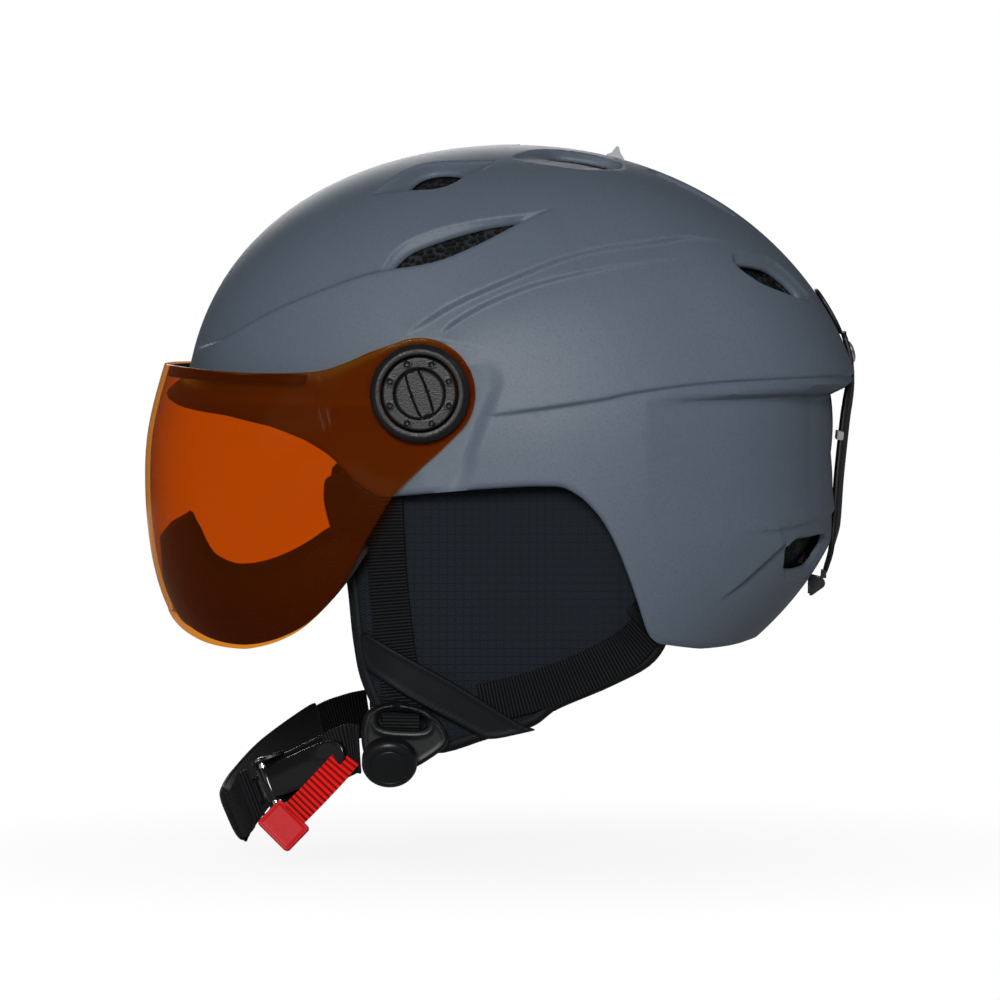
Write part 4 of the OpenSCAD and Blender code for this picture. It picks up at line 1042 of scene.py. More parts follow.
@dataclass
class Shell:
    """Outer shell with its creases, vents and seats, and the foam that shows in the vents."""

    wall: float = 2.5
    edge: float = 1.15
    columns: int = 230
    rows: int = 96
    pivot: tuple[float, float] = (-40.0, 14.0)
    seat_y: float = 102.0
    recess_y: float = 104.8
    recess_r: float = 27.0
    tail: Place = (3.0, -26.0)
    tail_r: float = 13.0
    seat_r: float = 19.4
    foam_floor: float = -9.0
    foam_t: float = 3.0

    def seat(self, points: Array, y_in: float) -> Array:
        """Flatten the round seat of the visor's hinge and the recess for the lens.

        Args:
            points: Points of the surface.
            y_in: How much further in the surface lies than the outer one.

        Returns:
            The flattened points.
        """
        x, z = points[:, 0] - self.pivot[0], points[:, 2] - self.pivot[1]
        r = np.hypot(x, z)
        gap, _, part = nearest(join(x, z), np.array([(0.0, 0.0), self.tail]))
        free = smooth(gap - (self.recess_r + (self.tail_r - self.recess_r) * part), 0, 8.0)
        y = np.abs(points[:, 1])
        low = np.minimum(y, self.recess_y - y_in)
        y = low + (y - low) * free
        near = (y > 60) & (r < self.seat_r + 1)
        y = np.where(near, y + (self.seat_y - y_in - y) * (1 - smooth(r, self.seat_r, self.seat_r + 0.7)), y)
        return join(points[:, 0], np.where(points[:, 1] > 0, y, -y), points[:, 2])

    def cut(self) -> Skin:
        """Cut the left half's skin along its creases, recesses and openings."""
        az = np.linspace(0, 180, self.columns + 1)
        share = np.concatenate([np.linspace(0, 0.12, 17)[:-1], np.linspace(0.12, 0.7, self.rows - 30)[:-1],
                                np.linspace(0.7, 1, 22)])
        skin = Skin.grid(az, share)
        for crease in CREASES:
            for level in (-2.2 * crease.width, -crease.width, 0, crease.width, 2.2 * crease.width):
                gap, part = crease.measure(Dome.point(*places(skin, Dome.rim)))
                near = (np.abs(gap) < 7) & (part > 0.001) & (part < 0.999)
                skin = skin.split(np.where(near, gap - level, 7.0))
        for vent in VENTS:
            for level in (1.6, 0.8, 0):
                skin = skin.split(vent.inset(*places(skin, Dome.rim)) - level)
            for level in (self.edge * 1.3, self.edge * 0.55, self.edge * 0.2, 0):
                skin = skin.split(vent.gap(*places(skin, Dome.rim)) - level)
            skin = skin.keep(vent.gap(*places(skin, Dome.rim)))
        return skin

    def build(self) -> None:
        """Make the shell and the vents' foam."""
        skin = self.cut()
        az, el = places(skin, Dome.rim)
        body = Dome.height(az, el)
        rim_az = np.linspace(-6, 186, 420)
        rim_el = Dome.rim(rim_az)
        rim = Dome.point(rim_az, rim_el, Dome.height(rim_az, rim_el))
        away = np.min([v.gap(az, el) for v in VENTS] + [nearest(Dome.point(az, el, body), rim)[0]], axis=0)
        drop = drop_at(away, self.edge)
        plain = Dome.point(az, el)
        relief = body + sum(c.height(plain) for c in CREASES) - sum(v.scoop(az, el) for v in VENTS)
        outer = self.seat(Dome.point(az, el, relief - drop), 0)
        inner = self.seat(Dome.point(az, el, relief - self.wall + drop * 0.6), 3.2)
        outer, faces = mirrored(outer, skin.faces)
        inner, _ = mirrored(inner, skin.faces)
        first, faces = welded(outer, faces)
        piece = Piece("shell_body", Finishes.SHELL, "helmet", "shell", ("outer_shell",))
        piece.build(*thick(outer[first], inner[first], Skin(outer[first], faces)), crease=62)
        self.foam()

    def foam(self) -> None:
        """Make the cellular foam under the vents."""
        solids = []
        for vent in VENTS:
            line = vent.outline()
            middle = line.mean(0)
            scale = np.array([1 / math.cos(math.radians(middle[1])), 1])
            flat = (line - middle) / scale
            wide = flat * (1 + 2.4 / np.linalg.norm(flat, axis=1))[:, None]
            low, high = wide.min(0) - 0.5, wide.max(0) + 0.5
            steps = np.maximum(((high - low) / 0.55).astype(int), 8)
            skin = Skin.grid(*map(np.linspace, low, high, steps))
            skin = skin.split(depth_in(skin.values, wide), 0.02)
            skin = skin.keep(depth_in(skin.values, wide))
            az, el = (skin.values * scale + middle).T
            rough = 0.22 * np.sin(az * 4.1 + 2 * np.sin(el * 3.3)) * np.sin(el * 4.7 + az)
            top = Dome.point(az, el, self.foam_floor + self.foam_t - vent.deeper + rough)
            solids.append(thick(top, Dome.point(az, el, np.full(len(az), self.foam_floor + 0.3)), skin))
        Piece("vent_foam", Finishes.MESH, "helmet", "mesh", ("vent_mesh",)).build(*mirrored(*merged(*solids)))


def lathe(profile: Sequence[Place], steps: int = 72) -> Pair:
    """Turn a profile round the third axis.

    Args:
        profile: Radius and height of each point.
        steps: Points round the axis.

    Returns:
        The points and the triangles.
    """
    angle = np.linspace(0, 2 * math.pi, steps, endpoint=False)
    rings = np.array([[(r * c, r * s, h) for c, s in zip(np.cos(angle), np.sin(angle))] for r, h in profile])
    return rings.reshape(-1, 3), grid_faces(len(profile), steps, closed=True)


def moulded(outline: Array, holes: Sequence[Array], thickness: float, edge: float, pitch: float,
            to_space: ToSpace, relief: Relief | None = None) -> Pair:
    """Solid with rounded edges over a flat outline.

    Args:
        outline: Corners of the outline.
        holes: Outlines of its holes.
        thickness: Thickness of the solid.
        edge: Radius of its edges.
        pitch: Size of its facets.
        to_space: Place of flat points and heights in space.
        relief: Extra height of the upper face.

    Returns:
        The points and the triangles.
    """
    low, high = outline.min(0) - pitch, outline.max(0) + pitch
    skin = Skin.grid(*map(np.linspace, low, high, np.maximum(((high - low) / pitch).astype(int), 4)))

    def depth(values: Array) -> Array:
        """Distance inside the edges."""
        return np.min([depth_in(values, outline)] + [-depth_in(values, hole) for hole in holes], axis=0)

    for level in (edge, edge * 0.5, edge * 0.2, edge * 0.05, 0):
        skin = skin.split(depth(skin.values) - level, 0.01)
    skin = skin.keep(depth(skin.values))
    drop = drop_at(depth(skin.values), edge)
    extra = relief(skin.values) if relief is not None else 0.0
    top = to_space(skin.values, thickness / 2 - drop + extra)
    return thick(top, to_space(skin.values, -thickness / 2 + drop), skin)


@dataclass
class Visor:
    """Lens with its seals, and the ring and knob of each hinge."""

    pivot: tuple[float, float] = (-40.0, 14.0)
    lens_y: float = 107.5
    round_y: float = 2.4
    flat_in: float = 105.3
    wall: float = 2.2
    edge: float = 0.7
    end_r: float = 22.0
    hub_r: float = 9.06
    knob_r: float = 14.6
    ring_r: float = 19.6
    ring_h: float = 4.6
    knob_foot: float = 108.1
    knob_t: float = 4.0
    dish_r: float = 10.2
    screw_at: float = 12.6
    bar_turn: float = 20.0
    bend_gap: float = 3.3
    bend_depth: float = 0.55
    seal_t: float = 4.2
    RADIUS = ((-180, 100), (-30, 98), (-5, 105.8), (1, 108.7), (5, 111.2), (9, 113.9), (19, 120.1),
              (28, 127.1), (34.5, 133.2), (41.5, 138.9), (46, 141.4), (60, 146), (75, 149), (110, 140),
              (180, 100))
    SQUARE = ((-180, 2.2), (-5, 2.05), (20, 2.3), (60, 2.5), (180, 2.5))
    TOP = ((-175, 23.4), (-145, 23.4), (-112, 21.6), (-84, 22.2), (-72, 25), (-60, 30.2))
    LOW = ((-32.4, -9.2), (-39.8, -15.8), (-46, -21.6), (-51.2, -27.6), (-61.2, -44.6), (-71.5, -63.7),
           (-78.4, -72.3), (-87, -80.3), (-96, -85.5), (-105, -88.6), (-113, -89.8), (-126, -88.5),
           (-136, -84.5), (-143, -79), (-150, -72), (-175, -50))
    LENS_EDGE = ((0, 41.9), (14.7, 46.1), (22.5, 50.4), (31.6, 55.4), (48.6, 64), (60, 68.6), (67.7, 71.7),
                 (77.6, 79.8))
    SEAL_EDGE = ((0, 28), (8, 29), (15, 33), (22, 39), (31.6, 44), (48.6, 51), (60, 56), (68, 61))
    SEAL_REACH = ((0, 19), (15, 19), (31, 16), (48, 12), (60, 10), (68, 8))
    TOP_EDGE = ((0, -4.4), (47, -4.8), (64, -8.5))
    BEND = ((-83.6, 24.0), (-70.5, -24.0))

    def point(self, th: Array, al: Array, off: Array | float = 0.0) -> Array:
        """Points on the lens's form round the hinge axis.

        Args:
            th: Angles below the front.
            al: Stations from the middle plane.
            off: Distance outward.

        Returns:
            The points in mm.
        """
        th, al = np.broadcast_arrays(np.asarray(th, float), np.asarray(al, float))
        steps = np.linspace(-180, 180, 361)
        kernel = np.exp(-(np.arange(-9, 10) / 4.0) ** 2)
        radius = np.pad(table(steps, self.RADIUS), 9, mode="edge")
        radius = np.convolve(radius, kernel / kernel.sum(), mode="valid")
        n = table(th, self.SQUARE)
        a, t = np.radians(al), np.radians(th)
        rho = (np.interp(th, steps, radius) + off) * np.cos(a) ** (2 / n)
        y = (self.lens_y + self.round_y + off) * np.abs(np.sin(a)) ** (2 / n)
        return join(self.pivot[0] - rho * np.cos(t), np.sign(al) * y, self.pivot[1] - rho * np.sin(t))

    def side(self) -> Array:
        """Outline of the lens in the side view."""
        turn = np.radians(np.arange(104, -42, -4))
        arc = self.end_r * join(np.cos(turn), np.sin(turn)) + self.pivot
        return np.concatenate([curve(self.TOP, 4), arc, curve(self.LOW, 5)])

    def lens(self) -> None:
        """Make the lens with its moulded step before the hinge."""
        share = np.concatenate([np.linspace(1, 0.3, 74)[:-1], np.linspace(0.3, 0.072, 30)])
        al = np.degrees(np.arccos(share ** 1.15))
        al = np.concatenate([-al[::-1], al[1:]])
        th = np.concatenate([np.linspace(-180, -40, 71)[:-1], np.linspace(-40, 120, 161)[:-1],
                             np.linspace(120, 180, 31)])
        skin = Skin.grid(al, th)
        outline = self.side()

        def shape(values: Array) -> Array:
            """Outer points of the lens."""
            p = self.point(values[:, 1], values[:, 0])
            y = np.abs(p[:, 1])
            y = np.minimum(y, self.lens_y) - 0.25 * np.exp(-((y - self.lens_y) / 0.8) ** 2)
            return join(p[:, 0], np.sign(values[:, 0]) * y, p[:, 2])

        def depth(values: Array) -> Array:
            """Distance inside the lens's edge and outside its bore, in the side view."""
            p = shape(values)[:, [0, 2]]
            bore = np.hypot(p[:, 0] - self.pivot[0], p[:, 1] - self.pivot[1]) - self.hub_r
            deep = np.minimum(depth_in(p, outline), bore)
            return np.where(np.abs(values[:, 1]) > 178, np.minimum(deep, 3.0), deep)

        for level in (self.edge * 1.2, self.edge * 0.5, self.edge * 0.15, 0):
            skin = skin.split(depth(skin.values) - level, 0.03)
        skin = skin.keep(depth(skin.values))
        a, b = np.array(self.BEND)
        way = (b - a) / np.linalg.norm(b - a)

        def across(points: Array) -> Array:
            """Distance behind the first bend line, and 9 mm where there is none."""
            back = (points[:, 0] - a[0]) * -way[1] + (points[:, 2] - a[1]) * way[0]
            return np.where((points[:, 0] > -105) & (points[:, 2] > -32), back, 9.0)

        for level in (-0.9, -0.45, 0, 0.45, 0.9, 2.4, 2.85, self.bend_gap, 3.75, 4.2):
            skin = skin.split(across(shape(skin.values)) - level, 0.03)
        first, faces = welded(shape(skin.values), skin.faces)
        skin = Skin(skin.values[first], faces)
        outer = shape(skin.values)
        drop = drop_at(depth(skin.values), self.edge)
        back = across(outer)
        lines = np.exp(-(back / 0.5) ** 2) + np.exp(-((back - self.bend_gap) / 0.5) ** 2)
        y = np.sign(outer[:, 1]) * (np.abs(outer[:, 1]) - self.bend_depth * lines - drop)
        outer = join(outer[:, 0], y, outer[:, 2])
        inner = self.point(skin.values[:, 1], skin.values[:, 0], -self.wall)
        y = np.minimum(np.abs(inner[:, 1]), self.flat_in) + drop * 0.6
        inner = join(inner[:, 0], np.sign(skin.values[:, 0]) * y, inner[:, 2])
        flat = np.abs(outer[:, 1]) > self.lens_y - 1.5
        inner[flat, 0], inner[flat, 2] = outer[flat, 0], outer[flat, 2]
        piece = Piece("amber_lens", Finishes.LENS, "visor", "lens", ("visor_lens",))
        piece.build(*thick(outer, inner, skin), crease=55)

    def seals(self) -> None:
        """Make the strip under the top edge and the skirt that meets the face."""
        al = np.linspace(-64, 64, 97)
        a = np.abs(al)
        edge = table(a, self.TOP_EDGE) - 0.45
        low = edge + np.where(a > 47, 2.5 + (a - 47) * 0.15, 2.5)
        section = ((0.0, -0.2), (0.1, 0.0), (0.9, 0.0), (1.0, -0.25), (1.0, -0.8), (0.9, -1.0), (0.1, -1.0),
                   (0.0, -0.8))
        rings = [self.point(low + (edge - low) * part, al, -self.wall - 0.35 + off * (self.seal_t - 2.4))
                 for part, off in section]
        piece = Piece("top_seal_strip", Finishes.SEAL, "visor", "seal_foam", ("visor_top_seal",))
        piece.build(*loft(np.stack(rings, 1)), crease=50)
        al = np.linspace(-68, 68, 121)
        a = np.abs(al)
        e, i, d = table(a, self.LENS_EDGE), table(a, self.SEAL_EDGE), table(a, self.SEAL_REACH)
        wall = self.wall + 0.45
        nose = np.exp(-(a / 17.0) ** 4)
        upper = nose * 0.12 + (1 - nose) * 0.55
        near = nose * 0.14 + (1 - nose) * 0.45
        section = (
            (e - 0.15, wall + 0.1), (e - 3.5, wall), (e - 6.0, wall + 0.4 * (1 - nose)),
            (i + upper * (e - i), wall + near * (d - wall)),
            (i + 0.2 * upper * (e - i), wall + (0.85 - 0.35 * nose) * (d - wall)), (i + 0.3, d - 0.4), (i, d),
            (i + 1.2, d + 0.6), (i + 3, d), (i + 0.5 * (e - i), wall + 0.62 * (d - wall)),
            (e - 2.2, wall + 5.4), (e - 0.3, wall + 3.0))
        rings = np.stack([self.point(t, al, -o) for t, o in section], 1)
        piece = Piece("face_seal_skirt", Finishes.SEAL, "visor", "seal_foam", ("visor_face_seal",))
        piece.build(*loft(rings), crease=60)

    def hinge(self, side: int) -> None:
        """Make one side's ring and knob."""
        word = SIDES[side]

        def at(points: Array, foot: float) -> Array:
            """Turn points on the third axis outward at the hinge."""
            return join(self.pivot[0] + points[:, 0], side * (foot + points[:, 2]),
                        self.pivot[1] + points[:, 1])

        k, r, h = self.knob_r + 0.5, self.ring_r, self.ring_h
        ring = ((k, 0), (r - 0.3, 0), (r, 0.3), (r, h - 2.6), (r - 0.15, h - 2.1), (r - 1.7, h - 0.35),
                (r - 2.1, h - 0.1), (r - 2.6, h), (k + 1.2, h), (k + 0.5, h - 0.2), (k + 0.1, h - 0.8),
                (k, h - 1.2), (k, 0))
        points, faces = lathe(ring, 128)
        piece = Piece(f"hinge_ring_{word}", Finishes.GRAINED, "visor", "grained_plastic",
                      (f"pivot_ring_{word}",))
        piece.build(at(points, self.lens_y), faces, crease=40)
        t, d = self.knob_t, self.dish_r
        face = ((0.0, 0.0), (self.knob_r - 0.4, 0), (self.knob_r, 0.4), (self.knob_r, t - 0.6),
                (self.knob_r - 0.2, t - 0.2), (self.knob_r - 0.6, t), (d + 0.35, t), (d + 0.1, t - 0.15),
                (d, t - 0.5), (d - 0.6, t - 1.5), (d - 1.2, t - 1.75), (0.0, t - 1.75))
        rows = []
        for (r0, h0), (r1, h1) in zip(face, face[1:]):
            steps = max(1, int(math.hypot(r1 - r0, h1 - h0) / 0.42))
            rows += [(r0 + (r1 - r0) * q / steps, h0 + (h1 - h0) * q / steps) for q in range(steps)]
        rows.append(face[-1])
        points, faces = lathe(rows, 180)
        x, y, z = points.T
        for n in range(8):
            a = math.radians(22.5 + 45 * n)
            gap = np.hypot(x - self.screw_at * math.cos(a), y - self.screw_at * math.sin(a))
            rim = np.where(z > t - 0.3, 0.16 * np.exp(-((gap - 1.35) / 0.3) ** 2), 0)
            z = z - np.where(z > t - 0.3, 0.75 * (1 - smooth(gap, 0.75, 1.15)), 0) + rim
        lean = math.radians(self.bar_turn)
        u = x * math.cos(lean) + y * math.sin(lean)
        v = -x * math.sin(lean) + y * math.cos(lean)
        wide = 2.75 - 0.02 * v**2 * 0.35
        bar = (1 - smooth(np.abs(u), wide, wide + 0.9)) * (1 - smooth(np.abs(v), d - 1.4, d - 0.1))
        z = np.where((np.hypot(x, y) < d) & (z > t - 2.2), z + (t + 0.9 - z) * bar, z)
        stem, stem_faces = lathe(((4.5, -12.3), (4.5, 0.2), (0.01, 0.2), (0.01, -12.3), (4.5, -12.3)), 36)
        piece = Piece(f"grip_knob_{word}", Finishes.GRAINED, f"knob_{word}", "grained_plastic",
                      (f"visor_knob_{word}",))
        knob = merged((at(join(x, y, z), self.knob_foot), faces), (at(stem, self.knob_foot), stem_faces))
        piece.build(*knob, crease=50)

    def build(self) -> None:
        """Make the whole visor."""
        self.lens()
        self.seals()
        for side in SIDES:
            self.hinge(side)


CAD_FINISHES = {"fit_dial": Finishes.GRAINED, "vent_slider": Finishes.SATIN} | dict.fromkeys(
    ("strap_anchors", "pivot_boss_left", "pivot_boss_right", "pivot_nut_left", "pivot_nut_right",
     "fit_housing", "fit_band_left", "fit_band_right", "vent_shutter", "keeper_anchor"), Finishes.PLASTIC)


def dress_nodes(nodes: dict[str, bpy.types.Object]) -> None:
    """Give the CAD nodes that stay their finishes.

    Args:
        nodes: The frame's nodes by name.
    """
    for name, finish in CAD_FINISHES.items():
        data = nodes[name].data
        data.materials.clear()
        data.materials.append(finish.make())
        LOG.info("%s keeps its own mesh", name)


# Foam liner and the pads on the head


@dataclass
class Liner:
    """Beaded foam liner, seen from below and through the vents."""

    head_len: float = 206.0
    head_w: float = 160.0
    head_h: float = 86.0
    low_share: float = 1.45
    outer: float = -3.6
    floor: float = -10.4
    columns: int = 150
    rows: int = 60
    rim_r: float = 2.5
    hinge_y: float = 93.6
    hinge_r: float = 33.5
    slide_r: float = 161.0
    slide_at: Place = (-1.0, -49.0)
    RIM = ((0, 5), (40, 3), (52, 0), (60, -1.5), (100, -1.5), (108, -8), (116, -22), (122, -29), (135, -31),
           (155, -30), (168, -26), (180, -26))

    def head(self, az: Array, el: Array, off: Array | float = 0.0) -> Array:
        """Points on the head space.

        Args:
            az: Azimuths.
            el: Elevations.
            off: Distance outward.

        Returns:
            The points in mm.
        """
        a, e = np.radians(az), np.radians(el)
        u = np.stack([-np.cos(a) * np.cos(e), -np.sin(a) * np.cos(e), np.sin(e)], axis=-1)
        tall = np.where(u[..., 2] < 0, self.low_share * self.head_h, self.head_h)
        x, y = u[..., 0] * 2 / self.head_len, u[..., 1] * 2 / self.head_w
        r = 1 / np.sqrt(x**2 + y**2 + (u[..., 2] / tall) ** 2)
        return u * (r + off)[..., None]

    def rim(self, az: Array) -> Array:
        """Elevation of the liner's lower edge."""
        return eased(az, self.RIM, 4, 2.5)

    def _out(self, az: Array, el: Array, gap: Array) -> Array:
        """Outer points, with room for the vents' foam, the hinges and the shutter.

        Args:
            az: Azimuths.
            el: Elevations.
            gap: Distance from the openings.

        Returns:
            The points.
        """
        high = self.outer - Dome.channel(az, el, 7) + (self.floor - self.outer) * (1 - smooth(gap, 4.0, 5.2))
        p = Dome.point(az, el, high)
        near = np.hypot(p[:, 0] - Shell.pivot[0], p[:, 2] - Shell.pivot[1])
        y = np.abs(p[:, 1])
        y = y + (np.minimum(y, self.hinge_y) - y) * (1 - smooth(near, self.hinge_r - 2.5, self.hinge_r))
        p = join(p[:, 0], np.sign(p[:, 1]) * y, p[:, 2])
        x, z = p[:, 0] - self.slide_at[0], p[:, 2] - self.slide_at[1]
        turn = np.degrees(np.arctan2(x, z))
        room = smooth(turn, 4.2, 5) * (1 - smooth(turn, 24.3, 25.1))
        room = room * (1 - smooth(np.abs(p[:, 1]), 31.4, 32.4))
        r = np.hypot(x, z)
        low = np.minimum(r, self.slide_r - 13.4 - 0.0042 * p[:, 1] ** 2)
        share = 1 + (low / r - 1) * room
        return join(self.slide_at[0] + x * share, p[:, 1], self.slide_at[1] + z * share)

    def build(self) -> None:
        """Make the liner with its vent channels."""
        az = np.linspace(0, 180, self.columns + 1)
        share = np.concatenate([np.linspace(0, 0.1, 10)[:-1], np.linspace(0.1, 1, self.rows)])
        skin = Skin.grid(az, share)

        for vent in VENTS:
            skin = skin.split(vent.gap(*places(skin, self.rim)))
            skin = skin.keep(vent.gap(*places(skin, self.rim)))
        pad = EarPad().outline(3)
        middle = np.array(EarPad().middle)
        pad = middle + (pad - middle) * 1.03

        def clear(skin_: Skin) -> Array:
            """Distance outside the ear pad in the side view."""
            p = self.head(*places(skin_, self.rim))
            return np.where((np.abs(p[:, 1]) > 40) & (p[:, 2] < 0), -depth_in(p[:, [0, 2]], pad), 20.0)

        skin = skin.split(clear(skin))
        skin = skin.keep(clear(skin))
        a, e = places(skin, self.rim)
        outer = self._out(a, e, np.min([v.gap(a, e) for v in VENTS], axis=0))
        low = skin.values[:, 1] * (90 - self.rim(a)) * 1.7
        inner = self.head(a, e, drop_at(low, self.rim_r))
        piece = Piece("foam_liner", Finishes.FOAM_BEADS, "helmet", "foam", ("eps_liner",))
        piece.build(*mirrored(*thick(outer, inner, skin)), crease=60, merge=0.04)


@dataclass
class HeadPads:
    """Comfort pads on the inside of the liner."""

    liner: Liner
    thickness: float = 6.0
    per_degree: float = 1.6

    def pad(self, name: str, node: str, span: tuple[float, float, float, float], seams: int) -> None:
        """Make one pad.

        Args:
            name: Name of the piece.
            node: The node that it stands for.
            span: First and last azimuth, first and last elevation.
            seams: Count of stitched parts along it.
        """
        a0, a1, e0, e1 = span
        mid = ((a0 + a1) / 2, (e0 + e1) / 2)
        squeeze = max(math.cos(math.radians(mid[1])), 0.35)
        half = np.array([(a1 - a0) / 2 * squeeze, (e1 - e0) / 2]) * self.per_degree
        corner = min(half) * 0.8
        angle = np.radians(np.arange(0, 360, 10))
        turn = join(np.cos(angle), np.sin(angle))
        outline = turn * corner + np.sign(turn) * (half - corner)

        def to_space(flat: Array, height: Array) -> Array:
            """Place of flat points on the liner."""
            az = mid[0] + flat[:, 0] / self.per_degree / squeeze
            el = mid[1] + flat[:, 1] / self.per_degree
            return self.liner.head(az, el, -0.35 - self.thickness / 2 - height)

        def relief(flat: Array) -> Array:
            """Stitched grooves across the pad."""
            place = (flat[:, 0] + half[0]) / (2 * half[0]) * seams
            return -1.6 * np.exp(-(((place + 0.5) % 1 - 0.5) * 2 * half[0] / seams / 1.1) ** 2) * (
                np.abs(place - seams / 2) < seams / 2 - 0.4)

        pad = moulded(outline, (), self.thickness, self.thickness / 2 - 0.15, 1.5, to_space, relief)
        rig.padded(Piece(name, Finishes.KNIT, "helmet", "lining", (node,)).build(*pad, crease=75), fill=0.6)

    def build(self) -> None:
        """Make the four pads."""
        self.pad("brow_cushion", "brow_pad", (-52, 52, 7, 25), 6)
        self.pad("front_crown_cushion", "crown_pad", (-58, 58, 62.5, 77.5), 3)
        self.pad("rear_crown_cushion", "crown_pad", (122, 238, 62.5, 77.5), 3)
        self.pad("nape_cushion", "nape_pad", (140, 220, -18, 0), 4)


# Ear pads and the straps that lie on them


@dataclass
class EarPad:
    """Form of an ear pad and the places on its outer face."""

    middle: Place = (-12.0, -62.0)
    mid_y: float = 84.5
    thickness: float = 16.0
    gap: float = 0.3
    edge: float = 7.6
    OUTLINE = ((-73, -19), (-79, -27), (-76, -42), (-70, -60), (-67, -86), (-63, -104), (-52.5, -122),
               (-35, -131), (-12.5, -125), (5, -120), (15, -113), (37, -103.5), (54, -94), (60, -80),
               (54, -62), (46, -42), (40, -27), (28, -19), (0, -18), (-36, -18))

    def outline(self, steps: int) -> Array:
        """Outline in the side view."""
        return curve(self.OUTLINE, steps, closed=True)

    def sheet_y(self, x: Array, z: Array) -> Array:
        """Distance of the pad's middle sheet from the middle plane."""
        front = np.maximum(0, -45 - x) ** 2
        low = np.maximum(0, -60 - z) ** 2
        rear = np.maximum(0, x - 30) ** 2
        return self.mid_y - 0.018 * front - 0.0016 * low - 0.014 * rear

    def on(self, flat: Array, off: Array | float, side: int) -> Array:
        """Points at a height over the pad's outer face, from places in the side view."""
        y = self.sheet_y(flat[:, 0], flat[:, 1]) + self.thickness / 2 + self.gap + off
        return join(flat[:, 0], side * y, flat[:, 1])

    def build(self, side: int) -> None:
        """Make the cushion and its piping on one side."""
        word = SIDES[side]
        outline = self.outline(5)

        def to_space(flat: Array, height: Array) -> Array:
            """Place of flat points and heights."""
            return join(flat[:, 0], side * (self.sheet_y(flat[:, 0], flat[:, 1]) + height), flat[:, 1])

        def relief(flat: Array) -> Array:
            """Soft folds of the cloth, and the dents under the straps."""
            x, z = flat.T
            folds = 0.30 * np.sin(x * 0.16 + z * 0.07 + 1.5 * np.sin(z * 0.06)) * np.sin(z * 0.05 + x * 0.02)
            strap = nearest(flat, curve(Harness.FRONT, 4))[0]
            return folds - 0.25 - 0.25 * np.exp(-((strap - 10) / 4.0) ** 2)

        piece = Piece(f"ear_cushion_{word}", Finishes.RIPSTOP, "helmet", "ear_fabric", (f"ear_pad_{word}",))
        pad = moulded(outline, (), self.thickness, self.edge, 1.9, to_space, relief)
        cushion = piece.build(*pad, crease=80)
        cushion.data.materials.append(Finishes.KNIT.make())
        for polygon in cushion.data.polygons:
            polygon.material_index = int(polygon.normal.y * side < -0.35)
        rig.padded(cushion, fill=0.7)
        inset = self._inset(outline, 3.4)
        path = self.on(inset, -self.gap - 1.1, side)
        Piece(f"ear_piping_{word}", Finishes.PIPING, "helmet",
              "ear_fabric").build(*tube(path, 1.25, closed=True))

    @staticmethod
    def _inset(outline: Array, depth: float) -> Array:
        """Outline moved inward by a depth."""
        out = beside(np.roll(outline, -1, axis=0) - np.roll(outline, 1, axis=0))
        area = np.sum(outline[:, 0] * np.roll(outline[:, 1], -1) - np.roll(outline[:, 0], -1) * outline[:, 1])
        return outline + out * (depth if area > 0 else -depth)


def tube(path: Array, radius: float, closed: bool = False, sides: int = 10) -> Pair:
    """Round bar along a path.

    Args:
        path: Points of its centreline.
        radius: Its radius.
        closed: Whether it closes.
        sides: Points round it.

    Returns:
        The points and the triangles.
    """
    ahead = np.roll(path, -1, axis=0) - np.roll(path, 1, axis=0)
    way = normed(ahead if closed else np.gradient(path, axis=0))
    first = normed(np.cross(way, [0.03, 1.0, 0.02]))
    second = np.cross(way, first)
    angle = np.linspace(0, 2 * math.pi, sides, endpoint=False)[None, :, None]
    rings = path[:, None] + radius * (np.cos(angle) * first[:, None] + np.sin(angle) * second[:, None])
    if closed:
        return loft(np.concatenate([rings, rings[:1]]), caps=False)
    return loft(rings)


def ribbon(centre: Array, across: Array, width: float, thickness: float, pitch: float = 0.0,
           rib: float = 0.16) -> tuple[Array, Array, Array]:
    """Flat woven band with crosswise ribs.

    Args:
        centre: Points along its middle.
        across: Direction across it at each point.
        width: Its width.
        thickness: Its thickness.
        pitch: Distance between two ribs, or nought for a plain band.
        rib: Height of the ribs.

    Returns:
        The points, the triangles and the surface map in mm.
    """
    gap = np.linalg.norm(np.diff(centre, axis=0), axis=1)
    along = np.concatenate([[0], np.cumsum(gap)])
    count = max(int(along[-1] / (pitch / 5 if pitch else 1.2)), 8)
    s = np.linspace(0, along[-1], count + 1)
    c = join(*(np.interp(s, along, centre[:, k]) for k in range(3)))
    a = normed(join(*(np.interp(s, along, across[:, k]) for k in range(3))))
    up = normed(np.cross(np.gradient(c, axis=0), a))
    a = normed(np.cross(up, np.gradient(c, axis=0)))
    half, t = width / 2, thickness / 2
    face = ((-0.985, 0.75), (-0.93, 1), (-0.6, 1), (-0.2, 1), (0.2, 1), (0.6, 1), (0.93, 1), (0.985, 0.75))
    shape = ((-1, 0.0), *face, (1, 0.0), *((q, -h) for q, h in reversed(face)))
    wave = (np.abs(np.sin(math.pi * s / pitch)) ** 0.7 - 1) * rib if pitch else np.zeros(len(s))
    rings, maps = [], []
    for q, h in shape:
        high = t * h + np.sign(h) * wave * (abs(h) > 0.9)
        rings.append(c + a * (half * q) + up * high[:, None])
        maps.append(join(np.full(len(s), half * q), s))
    points, faces = loft(np.stack(rings, 1))
    return points, faces, np.concatenate([np.stack(maps, 1).reshape(-1, 2), [[0, 0], [0, s[-1]]]])


